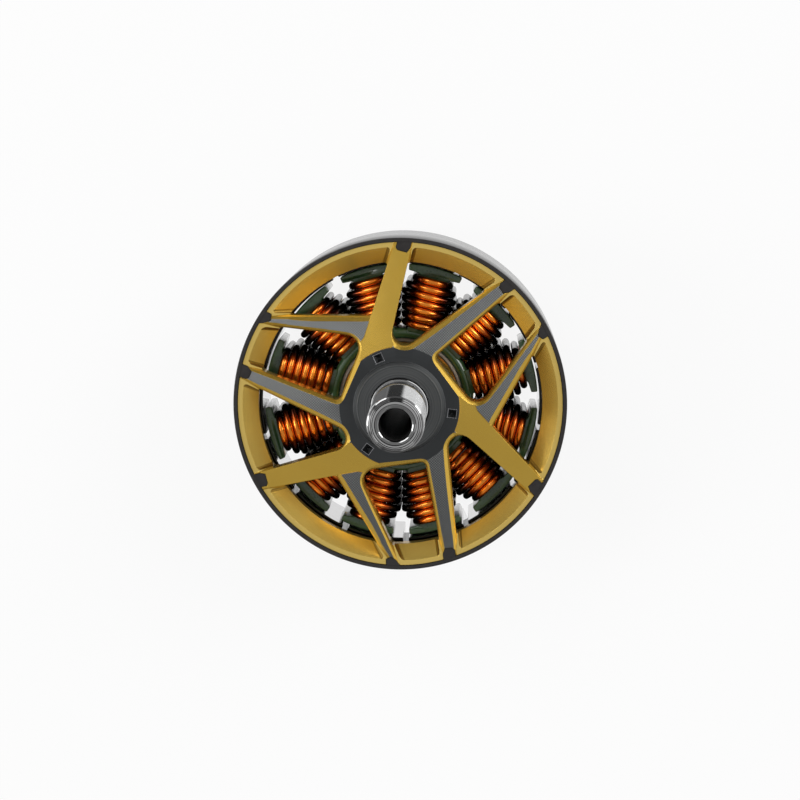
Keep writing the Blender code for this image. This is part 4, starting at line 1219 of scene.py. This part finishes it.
def base_plan():
    """The flange with its four arms, joined by fillets."""
    away = sqrt((FLANGE_RADIUS + ARM_FILLET) ** 2 - (ARM_HALF + ARM_FILLET) ** 2)
    turn = atan2(ARM_HALF + ARM_FILLET, away)
    quarter = pi / 2
    outline = []
    for angle in ARM_ANGLES:
        end = arc(Vector((BOLT_CIRCLE, 0)), ARM_HALF, -quarter, quarter, ARM_STEPS)
        fillet_center = Vector((away, ARM_HALF + ARM_FILLET))
        into = arc(fillet_center, ARM_FILLET, -quarter, turn - pi, ARM_FILLET_STEPS)
        gap = arc(AXIS, FLANGE_RADIUS, turn, quarter - turn, FLANGE_STEPS)[1:-1]
        out = [Vector((p.y, p.x)) for p in reversed(into)]
        outline += about_shaft(end + into + gap + out, angle)
    return outline


def add_plate(bm):
    outline = base_plan()
    broken = BASE_EDGE * BREAK_SHARE
    sections = []
    for inset, z in ((BASE_EDGE, 0), (broken, broken), (0, BASE_EDGE), (0, BASE_TOP - BASE_EDGE),
                     (broken, BASE_TOP - broken), (BASE_EDGE, BASE_TOP)):
        sections.append(at_height(grown(outline, [-inset] * len(outline)), z))
    add_stack(bm, sections)


def add_tube_wall(bm):
    """The tube that carries the stator core, with the shoulder under it."""
    seat, top = low("stator_core") - SEAT_GAP, high("base")
    shoulder_radius = TUBE_RADIUS + SHOULDER_WIDTH
    add_turned(bm, [
        (TUBE_INNER + TUBE_OVERLAP, BASE_TOP / 2),
        (shoulder_radius, BASE_TOP / 2),
        (shoulder_radius, seat),
        (TUBE_RADIUS, seat),
        (TUBE_RADIUS, top - TUBE_EDGE),
        (TUBE_RADIUS - TUBE_EDGE, top),
        (TUBE_INNER + TUBE_EDGE, top),
        (TUBE_INNER + TUBE_OVERLAP, top - TUBE_EDGE),
    ], TUBE_SEGMENTS)


def add_bearing_seats(bm):
    """A cutter for the ledge under the lower bearing, the two seats and the step between them."""
    top = high("base")
    step_low = high("lower_bearing_outer_ring") + SEAT_GAP
    step_high = low("upper_bearing_outer_ring") - SEAT_GAP
    step_radius = TUBE_INNER - TUBE_STEP
    add_stack(bm, turned_sections([
        (LEDGE_RADIUS + LEDGE_EDGE, -CUT_PAST),
        (LEDGE_RADIUS + LEDGE_EDGE, 0),
        (LEDGE_RADIUS, LEDGE_EDGE),
        (LEDGE_RADIUS, LEDGE_HEIGHT),
        (TUBE_INNER, LEDGE_HEIGHT),
        (TUBE_INNER, step_low),
        (step_radius, step_low),
        (step_radius, step_high),
        (TUBE_INNER, step_high),
        (TUBE_INNER, top - TUBE_MOUTH),
        (TUBE_INNER + TUBE_MOUTH, top),
        (TUBE_INNER + TUBE_MOUTH, top + CUT_PAST),
    ], TUBE_SEGMENTS))


def make_base():
    plate, wall, seats, holes = (bmesh.new() for _ in range(4))
    add_plate(plate)
    add_tube_wall(wall)
    add_bearing_seats(seats)
    for angle in ARM_ANGLES:
        spot = polar(BOLT_CIRCLE, angle)
        add_stack(holes, [at_height(arc(spot, radius * MM, 0, 2 * pi, BOLT_SEGMENTS)[:-1], z * MM)
                          for radius, z in BOLT_HOLE])
    base = make_object("base_milled", plate, (TURNED_GOLD,))
    cut(base, wall, "UNION")
    cut(base, seats)
    cut(base, holes)
    shade(base.data, BASE_SHARP_ANGLE)
    piece(base, "stator", "base")


# Bearings, shims and clip

SMALL_SEGMENTS = 96
SMALL_EDGE = 0.04 * MM
RING_LAND_WIDTH = 0.8 * MM
RACE_RADIUS = 0.66 * MM
RACE_ANGLES = [radians(-60 + 15 * i) for i in range(9)]
BALL_COUNT = 7
SHIELD_RECESS = 0.23 * MM
SHIELD_SEAT = 0.4 * MM
SHIELD_DENT = 0.05 * MM
SHIELD_RIM_START, SHIELD_RIM_END = 0.2 * MM, 0.26 * MM
SHIELD_LIP = 0.12 * MM
SHIM_WIDTH = 0.75 * MM
CLIP_WIDTH = 1.25 * MM
CLIP_HALF_OPENING = radians(35)
CLIP_EDGE = 0.07 * MM


def make_turned_piece(name, profile, surface, body, node):
    bm = bmesh.new()
    add_turned(bm, profile, SMALL_SEGMENTS)
    made = soften(make_object(name, bm, (surface,)), SMALL_EDGE)
    piece(made, body, node)


def make_bearing(side):
    ring = f"{side}_bearing_outer_ring"
    bottom, top = low(ring), high(ring)
    middle = (bottom + top) / 2
    inner_land = BEARING_BORE + RING_LAND_WIDTH
    outer_land = BEARING_RADIUS - RING_LAND_WIDTH
    recess_radius = BEARING_RADIUS - SHIELD_SEAT
    ball_circle = (BEARING_BORE + BEARING_RADIUS) / 2
    groove = [(RACE_RADIUS * cos(a), RACE_RADIUS * sin(a)) for a in RACE_ANGLES]
    make_turned_piece(f"{side}_inner_race", [
        (BEARING_BORE, bottom), (inner_land, bottom),
        *[(min(inner_land, ball_circle - x), middle + z) for x, z in groove],
        (inner_land, top), (BEARING_BORE, top),
    ], BEARING_STEEL, "rotor", f"{side}_bearing_inner_ring")
    make_turned_piece(f"{side}_outer_race", [
        (BEARING_RADIUS, bottom), (BEARING_RADIUS, top),
        (recess_radius, top), (recess_radius, top - SHIELD_RECESS), (outer_land, top - SHIELD_RECESS),
        *[(max(outer_land, ball_circle + x), middle + z) for x, z in reversed(groove)],
        (outer_land, bottom + SHIELD_RECESS), (recess_radius, bottom + SHIELD_RECESS),
        (recess_radius, bottom),
    ], BEARING_STEEL, "stator", ring)
    inner, outer = inner_land + SEAT_GAP, recess_radius - SEAT_GAP
    for place in ("top", "bottom"):
        node = f"{side}_bearing_{place}_shield"
        lower, upper = low(node), high(node)
        make_turned_piece(f"{side}_{place}_shield_pressed", [
            (inner, lower), (outer, lower), (outer, upper), (outer - SHIELD_RIM_START, upper),
            (outer - SHIELD_RIM_END, upper - SHIELD_DENT), (inner + SHIELD_LIP, upper - SHIELD_DENT),
            (inner, upper),
        ], BEARING_STEEL, "stator", node)
    for i in range(BALL_COUNT):
        name = f"{side}_ball_{i + 1}"
        lowest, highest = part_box(name)
        bm = bmesh.new()
        bmesh.ops.create_icosphere(bm, subdivisions=3, radius=(highest[2] - lowest[2]) / 2)
        bmesh.ops.translate(bm, verts=bm.verts, vec=(Vector(lowest) + Vector(highest)) / 2)
        ball = make_object(f"{side}_bearing_ball_{i + 1}", bm, (BEARING_STEEL,), pi)
        piece(ball, f"{side}_ball_set", name)
    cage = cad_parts[f"{side}_bearing_cage"]
    for slot in cage.material_slots:
        slot.material = CAGE_STEEL


def make_shim(side):
    node = f"{side}_shim"
    bottom, top, outer = low(node), high(node), BEARING_BORE + SHIM_WIDTH
    profile = [(BEARING_BORE, bottom), (outer, bottom), (outer, top), (BEARING_BORE, top)]
    make_turned_piece(node + "_stamped", profile, SHIM_BRASS, "rotor", node)


def make_clip():
    """An open spring ring."""
    inner = SHAFT_RADIUS - CLIP_GROOVE + SEAT_GAP
    start, end = CLIP_HALF_OPENING, 2 * pi - CLIP_HALF_OPENING
    outline = arc(AXIS, inner + CLIP_WIDTH, start, end, 72) + arc(AXIS, inner, end, start, 56)
    bm = bmesh.new()
    add_prism(bm, outline, low("retaining_clip"), high("retaining_clip"))
    clip = soften(make_object("retaining_clip_sprung", bm, (SPRING,)), CLIP_EDGE, 3)
    piece(clip, "rotor", "retaining_clip")


# Camera, at the photograph's angle

IMAGE_WIDTH = 800
SENSOR_WIDTH = 36
CAMERA_TILT = radians(6.43)
CAMERA_BEARING = radians(13.55)
CAMERA_DISTANCE = 250 * MM
PIXELS_PER_METRE = 10.99 / MM
AIM_RIGHT, AIM_UP = 0.02, 4.8    # from the rim's middle to the picture's, in pixels


def place_camera():
    out, up = sin(CAMERA_TILT), cos(CAMERA_TILT)
    toward = Vector((-sin(CAMERA_BEARING) * out, cos(CAMERA_BEARING) * out, up))
    lean = Vector((0, 0, 1)).rotation_difference(toward)
    x, y, z = (lean @ Vector(way) for way in ((1, 0, 0), (0, -1, 0), (0, 0, 1)))
    right, down, back = (Vector((x[i], y[i], z[i])) for i in range(3))
    aim = Vector((0, 0, rim_z)) + (right * AIM_RIGHT - down * AIM_UP) / PIXELS_PER_METRE
    data = bpy.data.cameras.new("photo_camera")
    data.sensor_width = SENSOR_WIDTH
    data.lens = SENSOR_WIDTH * PIXELS_PER_METRE * CAMERA_DISTANCE / IMAGE_WIDTH
    data.clip_start = 0.01
    data.clip_end = 20
    camera = bpy.data.objects.new("photo_camera", data)
    turned = Matrix((right, -down, back)).transposed().to_4x4()
    camera.matrix_world = Matrix.Translation(aim + back * CAMERA_DISTANCE) @ turned
    bpy.context.scene.collection.objects.link(camera)
    bpy.context.scene.camera = camera


# Stage and light

FLOOR_DEPTH = 0.02 * MM
# how much of the floor's whiteness is its own, as the camera and the metal see it
FLOOR_GLOW_SHARE = 0.88
HORIZON_LIGHT = 1.2
OVERHEAD_LIGHT = 0.47
SKY_BAND = 0.15
# bearing and half width in degrees and brightness of each panel or gap round the part
PANELS = ((90, 15, 0.05), (130, 19, 0.25), (182, 12, 1.4), (225, 20, 0.5), (270, 26, 0.3), (318, 16, 0.6),
          (42, 24, 1.4))
PANEL_FADE = 6
PANEL_TOP = (0.58, 0.74)
SOFTBOX_DISTANCE = 0.5
SOFTBOX_AIM = Vector((0, 0, 0.012))
# bearing, angle from straight above, size and power of each softbox on a dome round the part
SOFTBOXES = {
    "key_softbox": (128, 40, (0.2, 0.2), 0.5),
    "right_softbox": (28, 46, (0.14, 0.22), 0.6),
    "left_softbox": (180, 52, (0.14, 0.24), 0.6),
}


def make_floor():
    surface = bpy.data.materials.new("pale_floor")
    surface.use_nodes = True
    surface.node_tree.nodes.clear()
    nodes = Nodes(surface.node_tree)
    diffuse = nodes.add("BsdfDiffuse", (0.8, 0.8, 0.8))
    glow = nodes.add("Emission", (1, 1, 1), 1.0)
    seen = nodes.add("LightPath").outputs
    either = nodes.math("MAXIMUM", seen["Is Camera Ray"], seen["Is Glossy Ray"])
    share = nodes.math("MULTIPLY", either, FLOOR_GLOW_SHARE)
    mix = nodes.add("MixShader", share, diffuse.outputs[0], glow.outputs[0])
    nodes.add("OutputMaterial", mix.outputs[0])
    bm = bmesh.new()
    bmesh.ops.create_grid(bm, x_segments=1, y_segments=1, size=3)
    floor = make_object("floor", bm, (surface,))
    floor.location.z = -FLOOR_DEPTH


def make_world():
    """A studio with panels and dark gaps low round the part, dimmer overhead, white past the part."""
    world = bpy.data.worlds.new("studio")
    world.use_nodes = True
    nodes = Nodes(world.node_tree)
    sky = nodes.tree.nodes["Background"]
    x, y, z = nodes.add("SeparateXYZ", nodes.add("TexCoord").outputs["Generated"]).outputs
    level = nodes.range(z, SKY_BAND, 1.0 - SKY_BAND, HORIZON_LIGHT, OVERHEAD_LIGHT)
    bearing = nodes.math("ARCTAN2", y, x)
    panels = 1.0
    for azimuth, half, brightness in PANELS:
        away = nodes.math("PINGPONG", nodes.math("SUBTRACT", bearing, radians(azimuth)), pi)
        light = nodes.range(away, radians(half), radians(half + PANEL_FADE), brightness, 1.0)
        panels = nodes.math("MULTIPLY", light, panels)
    low_down = nodes.range(z, *PANEL_TOP, 1.0, 0.0)
    panels = nodes.math("MULTIPLY_ADD", nodes.math("SUBTRACT", panels, 1.0), low_down, 1.0)
    level = nodes.math("MULTIPLY", level, panels)
    past_part = nodes.add("LightPath").outputs["Is Camera Ray"]
    strength = nodes.add("Mix", past_part)
    nodes.put(level, strength.inputs["A"])
    nodes.put(1.0, strength.inputs["B"])
    nodes.put((1, 1, 1), sky.inputs["Color"])
    nodes.put(strength.outputs[0], sky.inputs["Strength"])
    bpy.context.scene.world = world


def add_softbox(name, azimuth, zenith, size, watts):
    zenith = radians(zenith)
    flat = polar(SOFTBOX_DISTANCE * sin(zenith), radians(azimuth))
    data = bpy.data.lights.new(name, "AREA")
    data.shape = "RECTANGLE"
    data.size, data.size_y = size
    data.energy = watts
    lamp = bpy.data.objects.new(name, data)
    lamp.location = (flat.x, flat.y, SOFTBOX_DISTANCE * cos(zenith))
    lamp.rotation_euler = (SOFTBOX_AIM - lamp.location).to_track_quat("-Z", "Y").to_euler()
    bpy.context.scene.collection.objects.link(lamp)


make_bell()
make_ring()
make_magnets()
make_shaft()
make_core()
make_coils()
make_base()
make_bearing("lower")
make_bearing("upper")
make_shim("lower")
make_shim("upper")
make_clip()
place_camera()
make_floor()
make_world()
for name, (azimuth, zenith, size, watts) in SOFTBOXES.items():
    add_softbox(name, azimuth, zenith, size, watts)

bpy.context.scene.view_settings.view_transform = "Standard"
